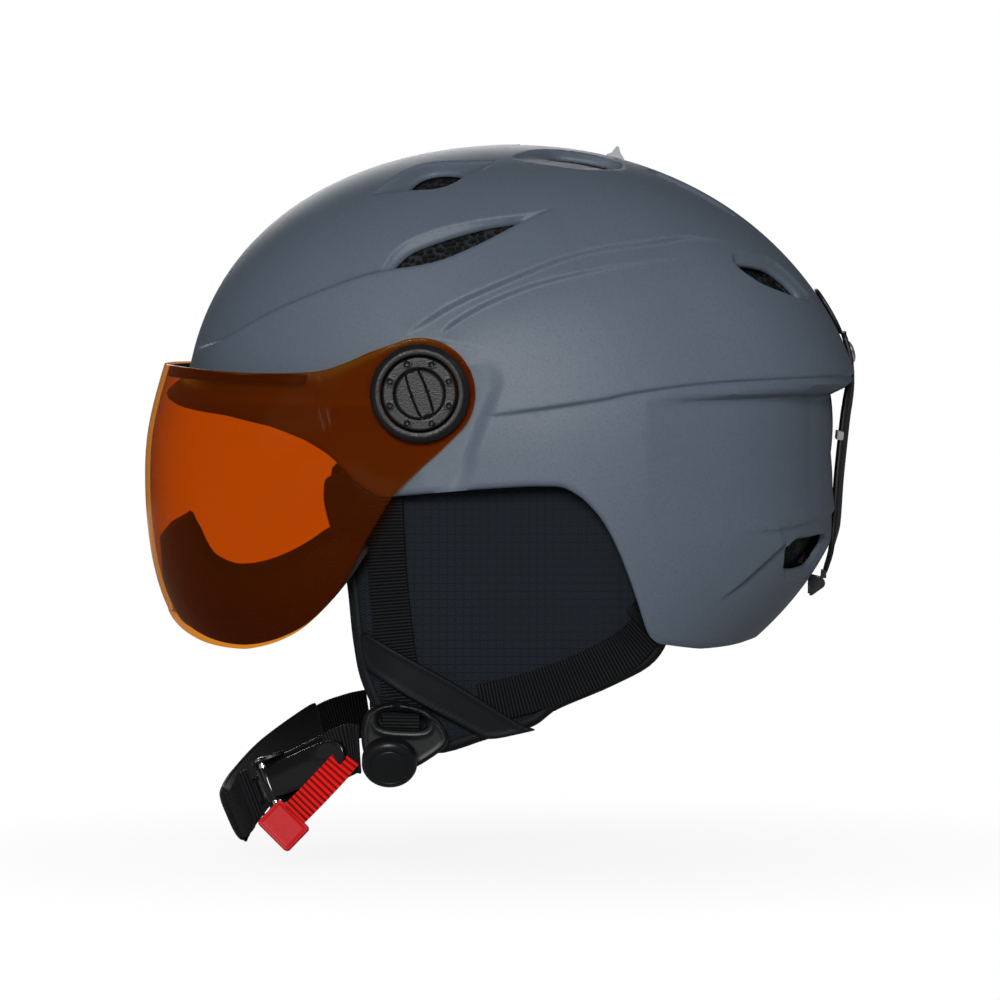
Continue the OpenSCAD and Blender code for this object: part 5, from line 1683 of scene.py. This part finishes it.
@dataclass
class Harness:
    """Webbing, rubber guides, adjusters and caps of the two sides."""

    pad: EarPad
    web_w: float = 16.0
    web_t: float = 1.4
    rib: float = 1.31
    adj_y: float = 90.6
    adj_t: float = 5.0
    cap_at: Place = (-52.0, -131.0)
    cap_r: float = 11.0
    cap_t: float = 6.5
    cap_tilt: float = 30.0
    cap_off: float = 5.8
    FRONT = ((-54.5, -10), (-54.2, -34), (-53, -58), (-50.5, -84), (-48, -102), (-47, -116))
    REAR = ((53, -77), (42.3, -88.3), (24, -98.1), (1.4, -106.2), (-16, -110))
    GUIDE = ((-64.6, -79.8), (-63.2, -94.6), (-59.2, -98.0), (-43.6, -108.6), (-17.4, -122.2), (-12.6, -125),
             (5.2, -121.0), (6.2, -120.4), (0.2, -118.7), (-23.3, -103.4), (-40.8, -93.4), (-52.3, -87.2))
    ADJUSTER = ((-63, -119), (-60, -112), (-50, -109), (-41, -111), (-34, -115), (-29, -122), (-30, -127),
                (-38, -133), (-46, -137), (-53, -138), (-60, -134), (-63, -127))
    SLOT = ((-57, -119.5), (-56, -112.5), (-40, -113.5), (-37, -117), (-38, -120.5))

    def webbing(self, path: Sequence[Place], side: int, name: str, node: str) -> None:
        """Make one band on the pad.

        Args:
            path: Its middle line in the side view.
            side: LEFT or RIGHT.
            name: Name of the piece.
            node: The node that it stands for.
        """
        flat = curve(path, 14)
        centre = self.pad.on(flat, self.web_t / 2, side)
        edges = flat + beside(np.gradient(flat, axis=0)), flat - beside(np.gradient(flat, axis=0))
        across = self.pad.on(edges[0], self.web_t / 2, side) - self.pad.on(edges[1], self.web_t / 2, side)
        band = ribbon(centre, across, self.web_w, self.web_t, self.rib)
        Piece(name, Finishes.WEBBING, "helmet", "webbing", (node,)).build(*band, crease=50)

    def guide(self, side: int) -> None:
        """Make one side's rubber guide over the bands, its outer face bare."""
        outline = rounded(self.GUIDE, 2)
        band, other = curve(self.FRONT, 4), curve(self.REAR, 4)

        def to_space(flat: Array, height: Array) -> Array:
            """Place of flat points, with room for the bands underneath."""
            off = 1.75 + height
            over = np.minimum(nearest(flat, band)[0], nearest(flat, other)[0]) < self.web_w / 2 + 0.4
            off = np.where((height < 0) & over, np.maximum(off, 1.5), off)
            return self.pad.on(flat, off, side)

        def relief(flat: Array) -> Array:
            """Raised border."""
            away = nearest(flat, outline, closed=True)[0]
            return 0.4 * (1 - smooth(away, 1.6, 2.2)) * smooth(away, 0, 0.7)

        word = SIDES[side]
        piece = Piece(f"rubber_guide_{word}", Finishes.GUIDE, "helmet", "guide_rubber",
                      (f"strap_guide_{word}",))
        piece.build(*moulded(outline, (), 3.0, 0.9, 0.9, to_space, relief), crease=50)

    def adjuster(self, side: int) -> None:
        """Make one side's adjuster, the fold of webbing in its slot, and the cap below it."""
        word = SIDES[side]
        outline = curve(self.ADJUSTER, 5, closed=True)
        slot = rounded(self.SLOT, 2)

        def to_space(flat: Array, height: Array) -> Array:
            """Place of flat points and heights."""
            return join(flat[:, 0], side * (self.adj_y + self.adj_t / 2 + height), flat[:, 1])

        def relief(flat: Array) -> Array:
            """Raised bead round the slot and along the border."""
            away = nearest(flat, slot, closed=True)[0]
            border = nearest(flat, outline, closed=True)[0]
            return 0.5 * np.exp(-((away - 2.2) / 0.8) ** 2) + 0.3 * np.exp(-((border - 1.6) / 0.7) ** 2)

        piece = Piece(f"frame_adjuster_{word}", Finishes.PLASTIC, "helmet", "black_plastic",
                      (f"adjuster_{word}",))
        piece.build(*moulded(outline, (slot,), self.adj_t, 1.3, 0.7, to_space, relief), crease=45)
        fold = curve(((-104.0, -0.9), (-109.5, -0.9), (-113.0, 1.2), (-114.6, 5.6), (-117.2, 6.5),
                      (-119.6, 5.2), (-121.0, 2.2), (-124.0, -0.9)), 6)
        count = len(fold)
        centre = join(np.full(count, -47.6), side * (self.adj_y + fold[:, 1]), fold[:, 0])
        band = ribbon(centre, np.tile([1.0, 0.0, -0.07], (count, 1)), self.web_w - 1.2, 1.1, self.rib, 0.12)
        Piece(f"folded_webbing_{word}", Finishes.WEBBING, "helmet", "webbing").build(*band, crease=50)
        r, t = self.cap_r, self.cap_t
        profile = ((0.0, 0), (r - 0.5, 0), (r, 0.5), (r, t - 2.6), (r - 0.3, t - 1.7), (r - 1.1, t - 0.7),
                   (r - 2.2, t - 0.25), (r - 3.0, t - 0.2), (r - 3.3, t - 0.45), (r - 3.8, t - 0.5),
                   (r - 4.2, t - 0.15), (r - 6, t), (0.0, t + 0.1))
        cap, cap_faces = lathe(profile, 96)
        tilt = math.radians(90 + self.cap_tilt)
        x, y, z = cap.T
        foot = self.adj_y + self.adj_t + self.cap_off
        cap = join(self.cap_at[0] + x, side * (foot - y * math.cos(tilt) + z * math.sin(tilt)),
                   self.cap_at[1] + y * math.sin(tilt) + z * math.cos(tilt))
        high = self.adj_t + self.cap_off + 1.5
        pin, pin_faces = lathe(((3.0, 0), (3.0, high), (0.01, high), (0.01, 0), (3.0, 0)), 40)
        pin = join(self.cap_at[0] + pin[:, 0], side * (self.adj_y + pin[:, 2]), self.cap_at[1] + pin[:, 1])
        piece = Piece(f"round_cap_{word}", Finishes.PLASTIC, "chin_strap", "black_plastic",
                      (f"adjuster_cap_{word}",))
        piece.build(*merged((cap, cap_faces), (pin, pin_faces)), crease=40)

    def build(self) -> None:
        """Make both sides."""
        for side, word in SIDES.items():
            self.pad.build(side)
            self.webbing(self.FRONT, side, f"front_band_{word}", f"front_webbing_{word}")
            self.webbing(self.REAR, side, f"rear_band_{word}", f"rear_webbing_{word}")
            self.guide(side)
            self.adjuster(side)


@dataclass
class ChinStrap:
    """Chin strap with its cushion, buckle, release lever and red tab."""

    width: float = 20.0
    web_t: float = 1.4
    rib: float = 1.31
    cushion_w: float = 23.4
    cushion_t: float = 7.0
    at: Point = (-86.0, -76.5, -137.5)
    hinge_at: Point = (-15.0, -5.3, 0.0)
    label_at: Point = (-94.5, -87.5, -159.0)
    label_turn: Place = (44.0, -12.0)
    pitch: float = 24.0
    yaw: float = 30.0
    RIGHT_PATH = (((-63.8, 92.5, -127), (-0.1, 0, 1)), ((-72, 87.5, -128.5), (-0.15, 0, 1)),
                  ((-84, 78, -133), (-0.2, 0, 1)), ((-104, 55, -147), (-0.3, 0, 1)),
                  ((-114, 28, -157), (-0.4, 0, 1)), ((-117, 8, -161), (-0.43, 0, 1)),
                  ((-117, -8, -161.5), (-0.43, 0, 1)), ((-114.5, -26, -159), (-0.4, 0, 1)),
                  ((-112, -44, -155), (-0.42, 0, 1)), ((-110.6, -57, -151.5), (-0.4, 0.1, 0.95)),
                  ((-109.6, -66.9, -148.8), (-0.355, 0.203, 0.914)),
                  ((-106.05, -68.3, -147.05), (-0.36, 0.2, 0.914)))
    LEFT_PATH = (((-64.4, -92.3, -128), (-0.1, 0, 1)), ((-65.8, -90.4, -128), (-0.3, 0.1, 1)),
                 ((-69.3, -87.7, -128.6), (-0.352, 0.203, 0.914)),
                 ((-75.5, -83.9, -131.8), (-0.352, 0.203, 0.914)))
    TAB_PATH = (((-68.6, -91.3, -131.0), (0.69, -0.22, -0.69)), ((-73.5, -92.9, -136.6), (0.69, -0.2, -0.70)),
                ((-79.0, -93.6, -142.4), (0.69, -0.1, -0.72)), ((-84.2, -92.7, -147.9), (0.69, 0, -0.73)),
                ((-90.0, -90.4, -153.9), (0.69, 0, -0.73)))

    def route(self, path: Sequence, steps: int = 10) -> Pair:
        """Smooth middle line and way across."""
        return curve([p for p, _ in path], steps), curve([a for _, a in path], steps)

    def in_buckle(self, points: Array) -> Array:
        """Move points from the buckle's own frame to the helmet's."""
        about_y, about_z = turns(-self.pitch, -self.yaw)
        return points @ (about_z @ about_y).T + self.at

    def straps(self) -> None:
        """Make the two halves of the strap and the cushion on the right one."""
        for word, path in (("right", self.RIGHT_PATH), ("left", self.LEFT_PATH)):
            centre, across = self.route(path)
            piece = Piece(f"chin_band_{word}", Finishes.WEBBING, "chin_strap", "webbing",
                          (f"chin_webbing_{word}",))
            piece.build(*ribbon(centre, across, self.width, self.web_t, self.rib), crease=50)
        centre, across = self.route(self.RIGHT_PATH[2:7], 14)
        across = normed(across)
        up = normed(np.cross(np.gradient(centre, axis=0), across))
        f = np.linspace(-1, 1, len(centre))
        ends = np.sqrt(np.clip(1 - np.abs(f) ** 8, 0.02, 1))
        angle = np.linspace(0, 2 * math.pi, 36, endpoint=False)
        c, s = np.cos(angle), np.sin(angle)
        wide = self.cushion_w / 2 * (0.9 + 0.1 * ends)
        seams = np.exp(-((f * 4.5 + 0.5) % 1 - 0.5) ** 2 * 60)
        tall = self.cushion_t / 2 * (0.45 + 0.55 * ends) * (1 - 0.10 * seams)
        side = wide[:, None] * np.sign(c) * np.abs(c) ** 0.55
        high = tall[:, None] * np.sign(s) * np.abs(s) ** 0.75
        rings = centre[:, None] + across[:, None] * side[..., None] + up[:, None] * high[..., None]
        piece = Piece("chin_cushion", Finishes.KNIT, "chin_strap", "lining", ("chin_pad",))
        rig.padded(piece.build(*loft(rings), crease=80), fill=0.6)
        for sign, word in ((-1, "low"), (1, "high")):
            path = centre + across * (wide * sign)[:, None]
            Piece(f"chin_piping_{word}", Finishes.PIPING, "chin_strap", "lining").build(*tube(path, 0.8))

    def plate(self, piece: Piece, outline: Array, top: float, bottom: float, edge: float,
              relief: Relief, holes: Sequence[Array] = ()) -> None:
        """Make a moulded plate that lies along the buckle.

        Args:
            piece: The piece that it becomes.
            outline: Outline along and across the buckle.
            top: Height of its outer face.
            bottom: Height of its inner face.
            edge: Radius of its edges.
            relief: Extra height of its outer face.
            holes: Outlines of its holes.
        """

        def to_space(flat: Array, height: Array) -> Array:
            """Place of flat points and heights."""
            return self.in_buckle(join(flat[:, 0], -((top + bottom) / 2 + height), flat[:, 1]))

        piece.build(*moulded(outline, holes, top - bottom, edge, 0.55, to_space, relief), crease=45)

    def buckle(self) -> None:
        """Make the frame, the ladder, the lever and the rivets."""
        frame = box(-22, 22, -10, 10, 2.5)

        def beads(flat: Array) -> Array:
            """Raised border of the frame."""
            away = nearest(flat, frame, closed=True)[0]
            return 0.5 * (1 - smooth(away, 1.3, 1.9)) * smooth(away, 0, 0.6)

        self.plate(Piece("buckle_frame", Finishes.PLASTIC, "chin_strap", "black_plastic", ("buckle_base",)),
                   frame, 0.1, -2.3, 0.6, beads, (box(-19, -16, -8, 8, 1.2), box(16, 19, -8, 8, 1.2)))
        outline = rounded(((-20, -0.6), (-20, 4.6), (-18.4, 7.0), (-15, 7.9), (-10.5, 7.0), (-6.2, 3.4),
                           (-6, -0.6)))
        for sign, word in ((-1, "low"), (1, "high")):

            def to_space(flat: Array, height: Array, sign: int = sign) -> Array:
                """Place of flat points and heights."""
                return self.in_buckle(join(flat[:, 0], -flat[:, 1], sign * (9.9 + height)))

            cheek = Piece(f"buckle_cheek_{word}", Finishes.PLASTIC, "chin_strap", "black_plastic")
            cheek.build(*moulded(outline, (), 1.8, 0.5, 0.6, to_space), crease=45)

        def teeth(flat: Array) -> Array:
            """Ratchet teeth across the ladder."""
            saw = ((flat[:, 0] + 28) / 2.4) % 1
            high = 0.55 * np.where(saw < 0.75, saw / 0.75, (1 - saw) * 4)
            return high * (np.abs(flat[:, 1]) < 4.6) * (flat[:, 0] < -8)

        self.plate(Piece("ladder", Finishes.PLASTIC, "chin_strap", "black_plastic", ("ladder_tongue",)),
                   box(-28, 2, -6, 6, 2), 1.6, 0.4, 0.4, teeth)
        lever = rounded(((-17.5, -6.8), (-17.5, 6.8), (8, 6.6), (19, 5.9), (23.6, 3.2), (24.2, 0),
                         (23.6, -3.2), (19, -5.9), (8, -6.6)))

        def crown(flat: Array) -> Array:
            """Crowned face with a hollow for the thumb."""
            bow = -0.5 * (flat[:, 1] / 6.5) ** 2
            thumb = -0.7 * np.exp(-((flat[:, 0] - 15) / 4.5) ** 2 - (flat[:, 1] / 4.6) ** 2)
            return 0.35 + bow + thumb

        self.plate(Piece("gloss_lever", Finishes.GLOSS, "release_lever", "gloss_black", ("release_lever",)),
                   lever, 7.5, 4.9, 0.8, crown)

        def hinged(points: Array) -> Array:
            """Turn points on the third axis along the lever's hinge."""
            return self.in_buckle(points + self.hinge_at)

        barrel, faces = lathe(((2.9, -6.9), (3.0, -6.7), (3.0, 6.7), (2.9, 6.9), (1.6, 6.9), (1.6, -6.9),
                               (2.9, -6.9)), 48)
        piece = Piece("lever_barrel", Finishes.GLOSS, "release_lever", "gloss_black")
        piece.build(hinged(barrel), faces, crease=40)
        half, faces = lathe(((0.01, 0), (1.5, 0), (1.5, 10.1), (2.6, 10.1), (2.6, 10.5), (2.3, 11.0),
                             (1.5, 11.35), (0.01, 11.5)), 48)
        rivet, faces = merged((half * [1, 1, -1], faces[:, ::-1]), (half, faces))
        piece = Piece("lever_rivet", Finishes.METAL, "chin_strap", "rivet_metal", ("buckle_rivets",))
        piece.build(hinged(rivet), faces, crease=40)

    def tab(self) -> None:
        """Make the red tab and its label, the label's faces bare."""
        centre, across = self.route(self.TAB_PATH, 14)
        piece = Piece("red_tab", Finishes.RED_WEBBING, "release_lever", "red_webbing", ("release_tab",))
        piece.build(*ribbon(centre, across, 11.0, 1.4, 2.2, 0.3), crease=50)
        outline = box(-8.6, 8.6, -6.7, 6.7, 1.6)
        about_y, about_z = turns(*self.label_turn)

        def to_space(flat: Array, height: Array) -> Array:
            """Place of flat points and heights."""
            return join(flat[:, 0], -height, flat[:, 1]) @ (about_y @ about_z).T + self.label_at

        def border(flat: Array) -> Array:
            """Raised border round the bare field."""
            return -0.4 * smooth(nearest(flat, outline, closed=True)[0], 1.1, 1.5)

        piece = Piece("red_label", Finishes.RED_RUBBER, "release_lever", "red_rubber", ("release_label",))
        piece.build(*moulded(outline, (), 2.9, 0.6, 0.5, to_space, border), crease=45)

    def build(self) -> None:
        """Make the whole chin strap."""
        self.straps()
        self.buckle()
        self.tab()


@dataclass
class Keeper:
    """Retainer for the goggle strap at the back."""

    width: float = 20.0
    thickness: float = 1.3
    pin: Place = (122.6, -66.5)
    snap_at: Point = (135.25, 0.0, 28.0)
    snap_turn: float = 74.0
    PATH = ((132, 36.5), (134.6, 28), (136.1, 22), (136.3, 14), (135.6, 7), (134.6, 0), (132.2, -23),
            (131, -40), (130, -46), (126.8, -56), (124.6, -63))
    HOLES = (-48.4, -52.5, -56.6)
    bow: float = 0.027

    def build(self) -> None:
        """Make the strap, its snap, its barrel and the socket strip."""
        path = curve(self.PATH, 12)
        gap = np.linalg.norm(np.diff(path, axis=0), axis=1)
        along = np.concatenate([[0], np.cumsum(gap)])
        out = beside(np.gradient(path, axis=0))
        total = along[-1]

        def to_space(flat: Array, height: Array) -> Array:
            """Place of points along and across the strap."""
            x = np.interp(flat[:, 0], along, path[:, 0]) + height * np.interp(flat[:, 0], along, out[:, 0])
            z = np.interp(flat[:, 0], along, path[:, 1]) + height * np.interp(flat[:, 0], along, out[:, 1])
            ends = smooth(flat[:, 0], 6, 30) * (1 - smooth(flat[:, 0], total - 22, total - 6))
            return join(x - self.bow * flat[:, 1] ** 2 * ends, flat[:, 1], z)

        half = self.width / 2
        outline = rounded([(0, -half + 3), (0, half - 3), (4, half), (total - 18, half),
                           (total - 10, half - 1.2), (total, 5.4), (total, -5.4), (total - 10, -half + 1.2),
                           (total - 18, -half), (4, -half)], 2)
        angle = np.radians(np.arange(0, 360, 24))
        circle = join(np.cos(angle), np.sin(angle))
        holes = []
        for z in self.HOLES:
            place = np.interp(-z, -path[:, 1], along)
            holes += [circle * [0.9, 1.3] + [place, y] for y in (-4.6, 0, 4.6)]

        def relief(flat: Array) -> Array:
            """Raised border and grip ribs near the end."""
            away = nearest(flat, outline, closed=True)[0]
            ribs = 0.35 * np.maximum(0, np.sin(flat[:, 0] * 2.4))
            border = 0.3 * (1 - smooth(away, 1.3, 1.8)) * smooth(away, 0, 0.5)
            return border + ribs * (flat[:, 0] < 8) * (np.abs(flat[:, 1]) < 7.5)

        strap = moulded(outline, holes, self.thickness, 0.45, 0.8, to_space, relief)
        barrel, barrel_faces = lathe(((2.3, -5.4), (2.3, 5.4), (1.25, 5.5), (1.25, -5.5), (2.3, -5.4)), 40)
        barrel = join(self.pin[0] + barrel[:, 0], barrel[:, 2], self.pin[1] + barrel[:, 1])
        lug = ((123.4, -64.6), (125.4, -64.6), (125.4, -61.4), (123.7, -61.4))
        ends = np.array([[(x, y, z) for x, z in lug] for y in (-5.4, 5.4)])
        piece = Piece("retainer_strap", Finishes.RUBBER, "keeper", "keeper_rubber", ("keeper_strap",))
        piece.build(*merged(strap, (barrel, barrel_faces), loft(ends)), crease=50)
        snap, faces = lathe(((0.01, 0.1), (4.5, 0.1), (4.5, 0.5), (4.2, 0.9), (3.4, 1.25), (2.5, 1.6),
                             (1.2, 1.78), (0.01, 1.8)), 60)
        about_y, _ = turns(self.snap_turn, 0)
        piece = Piece("retainer_snap", Finishes.METAL, "keeper", "rivet_metal", ("keeper_cap",))
        piece.build(snap @ about_y.T + self.snap_at, faces, crease=40)
        self._socket()
        self._clip(to_space, float(np.interp(6.1, -path[:, 1], along)))

    def _socket(self) -> None:
        """Make the strip on the shell that the retainer snaps onto."""
        outline = rounded([(15.0, -9.8), (15.0, 9.8), (24.0, 9.8), (24.0, -9.8)], 3)

        def to_space(flat: Array, height: Array) -> Array:
            """Place of points by elevation and side."""
            p = Dome.point(np.full(len(flat), 180.0), flat[:, 0], 1.1 + height)
            return join(p[:, 0], flat[:, 1], p[:, 2])

        piece = Piece("snap_strip", Finishes.RUBBER, "helmet", "keeper_rubber", ("keeper_socket",))
        piece.build(*moulded(outline, (), 1.5, 0.5, 0.6, to_space), crease=50)

    def _clip(self, to_space: ToSpace, place: float) -> None:
        """Make the small grey slide on the strap.

        Args:
            to_space: Place of points along and across the strap.
            place: Where along the strap it is.
        """
        rings = []
        for along in np.linspace(place - 1.7, place + 1.7, 5):
            high = 1.1 + 0.25 * math.cos((along - place) / 1.7 * 1.4)
            flat = join(np.full(4, along), np.array([-10.7, 10.7, 10.7, -10.7]))
            rings.append(to_space(flat, np.array([-1.2, -1.2, high, high])))
        piece = Piece("retainer_slide", Finishes.SATIN, "keeper", "grey_plastic")
        piece.build(*loft(np.array(rings)), crease=40)


# Studio


@dataclass
class Studio:
    """Floor, world, lights and the camera of the photograph."""

    floor_z: float = -178.0
    target: Point = (-8.2, 0.0, -32.8)
    aim: Point = (0.0, 0.0, -20.0)
    sky: float = 0.14
    paper: float = 0.55
    distance: float = 3000.0
    height: float = 2.5
    width: float = 410.0

    def world(self) -> None:
        """White behind the helmet, and a soft grey studio in its reflections."""
        world = bpy.data.worlds.new("studio")
        bpy.context.scene.world = world
        tree = empty_tree(world)
        seen = add_node(tree, "LightPath").outputs["Is Camera Ray"]
        soft = add_node(tree, "Background", {0: (0.80, 0.84, 0.90, 1), 1: self.sky}).outputs[0]
        white = add_node(tree, "Background", {0: (1, 1, 1, 1), 1: 1.0}).outputs[0]
        mix = add_node(tree, "MixShader", {0: seen, 1: soft, 2: white}).outputs[0]
        add_node(tree, "OutputWorld", {0: mix})

    def floor(self) -> None:
        """Pale floor that turns white away from the helmet."""
        points, faces = lathe(((0.01, 0), (400, 0), (900, 0), (1800, 0), (3200, 0)), 64)
        mesh = bpy.data.meshes.new("studio_floor")
        mesh.from_pydata(((points + [0, 0, self.floor_z]) * MM).tolist(), [], faces.tolist())
        mesh.shade_smooth()
        material = bpy.data.materials.new("floor paper")
        tree = empty_tree(material)
        paper = add_node(tree, "BsdfDiffuse", {0: (self.paper, self.paper, self.paper, 1)}).outputs[0]
        glow = add_node(tree, "Emission", {0: (1, 1, 1, 1)}).outputs[0]
        place = add_node(tree, "TexCoord").outputs["Object"]
        away = add_node(tree, "VectorMath", {0: place}, operation="LENGTH").outputs["Value"]
        reach = {0: away, 1: 0.10, 2: 0.36, 3: 0.86, 4: 1.0}
        fade = add_node(tree, "MapRange", reach, interpolation_type="SMOOTHSTEP").outputs[0]
        mix = add_node(tree, "MixShader", {0: fade, 1: paper, 2: glow}).outputs[0]
        seen = add_node(tree, "LightPath").outputs["Is Camera Ray"]
        shown = add_node(tree, "MixShader", {0: seen, 1: paper, 2: mix}).outputs[0]
        add_node(tree, "OutputMaterial", {0: shown})
        mesh.materials.append(material)
        self.place("studio_floor", mesh)

    @staticmethod
    def place(name: str, data: bpy.types.ID) -> bpy.types.Object:
        """Put a stage object in the scene."""
        thing = bpy.data.objects.new(name, data)
        bpy.context.scene.collection.objects.link(thing)
        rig.stage(thing)
        return thing

    def lamp(self, name: str, place: Point, size: float, power: float) -> None:
        """Add one soft area light.

        Args:
            name: Name of the light.
            place: Where it is, in mm.
            size: Its width in mm.
            power: Its power in watts.
        """
        data = bpy.data.lights.new(name, "AREA")
        data.shape = "DISK"
        data.size = size * MM
        data.energy = power
        lamp = self.place(name, data)
        lamp.location = Vector(place) * MM
        lamp.rotation_euler = (Vector(self.aim) - Vector(place)).to_track_quat("-Z", "Y").to_euler()

    def camera(self) -> None:
        """Camera of the photograph."""
        data = bpy.data.cameras.new("photo_camera")
        data.angle = 2 * math.atan(self.width / 2 / self.distance)
        data.clip_end = 50
        camera = self.place("photo_camera", data)
        e = math.radians(self.height)
        camera.location = (Vector(self.target) + Vector((0, -math.cos(e), math.sin(e))) * self.distance) * MM
        camera.rotation_euler = (math.radians(90 - self.height), 0, 0)
        bpy.context.scene.camera = camera

    def build(self) -> None:
        """Set up the whole studio."""
        self.world()
        self.floor()
        self.lamp("key", (-250, -2500, 750), 900, 62)
        self.lamp("fill", (-1500, -1300, 500), 1100, 2)
        self.lamp("rear", (1200, -400, 900), 700, 2)
        self.lamp("far", (-300, 2400, 800), 1100, 16)
        self.camera()
        bpy.context.scene.view_settings.view_transform = "Standard"


def write_sizes(path: str, before: object, after: object) -> None:
    """Keep the bounds of the loaded frame and of the finished helmet in a file."""
    with open(path, "w") as file:
        json.dump({"loaded": before, "finished": after}, file, default=lambda v: [float(x) for x in v])


def main() -> None:
    """Dress the helmet and set up the studio."""
    logging.basicConfig(level=logging.INFO, format="%(name)s: %(message)s")
    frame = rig.load()
    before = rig.bounds()
    dress_nodes(frame["nodes"])
    liner = Liner()
    for part in (Shell(), Visor(), liner, HeadPads(liner), Harness(EarPad()), ChinStrap(), Keeper()):
        part.build()
        LOG.info("%s is done", type(part).__name__)
    Studio().build()
    write_sizes("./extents.json", before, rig.bounds())


if __name__ == "__main__":
    main()
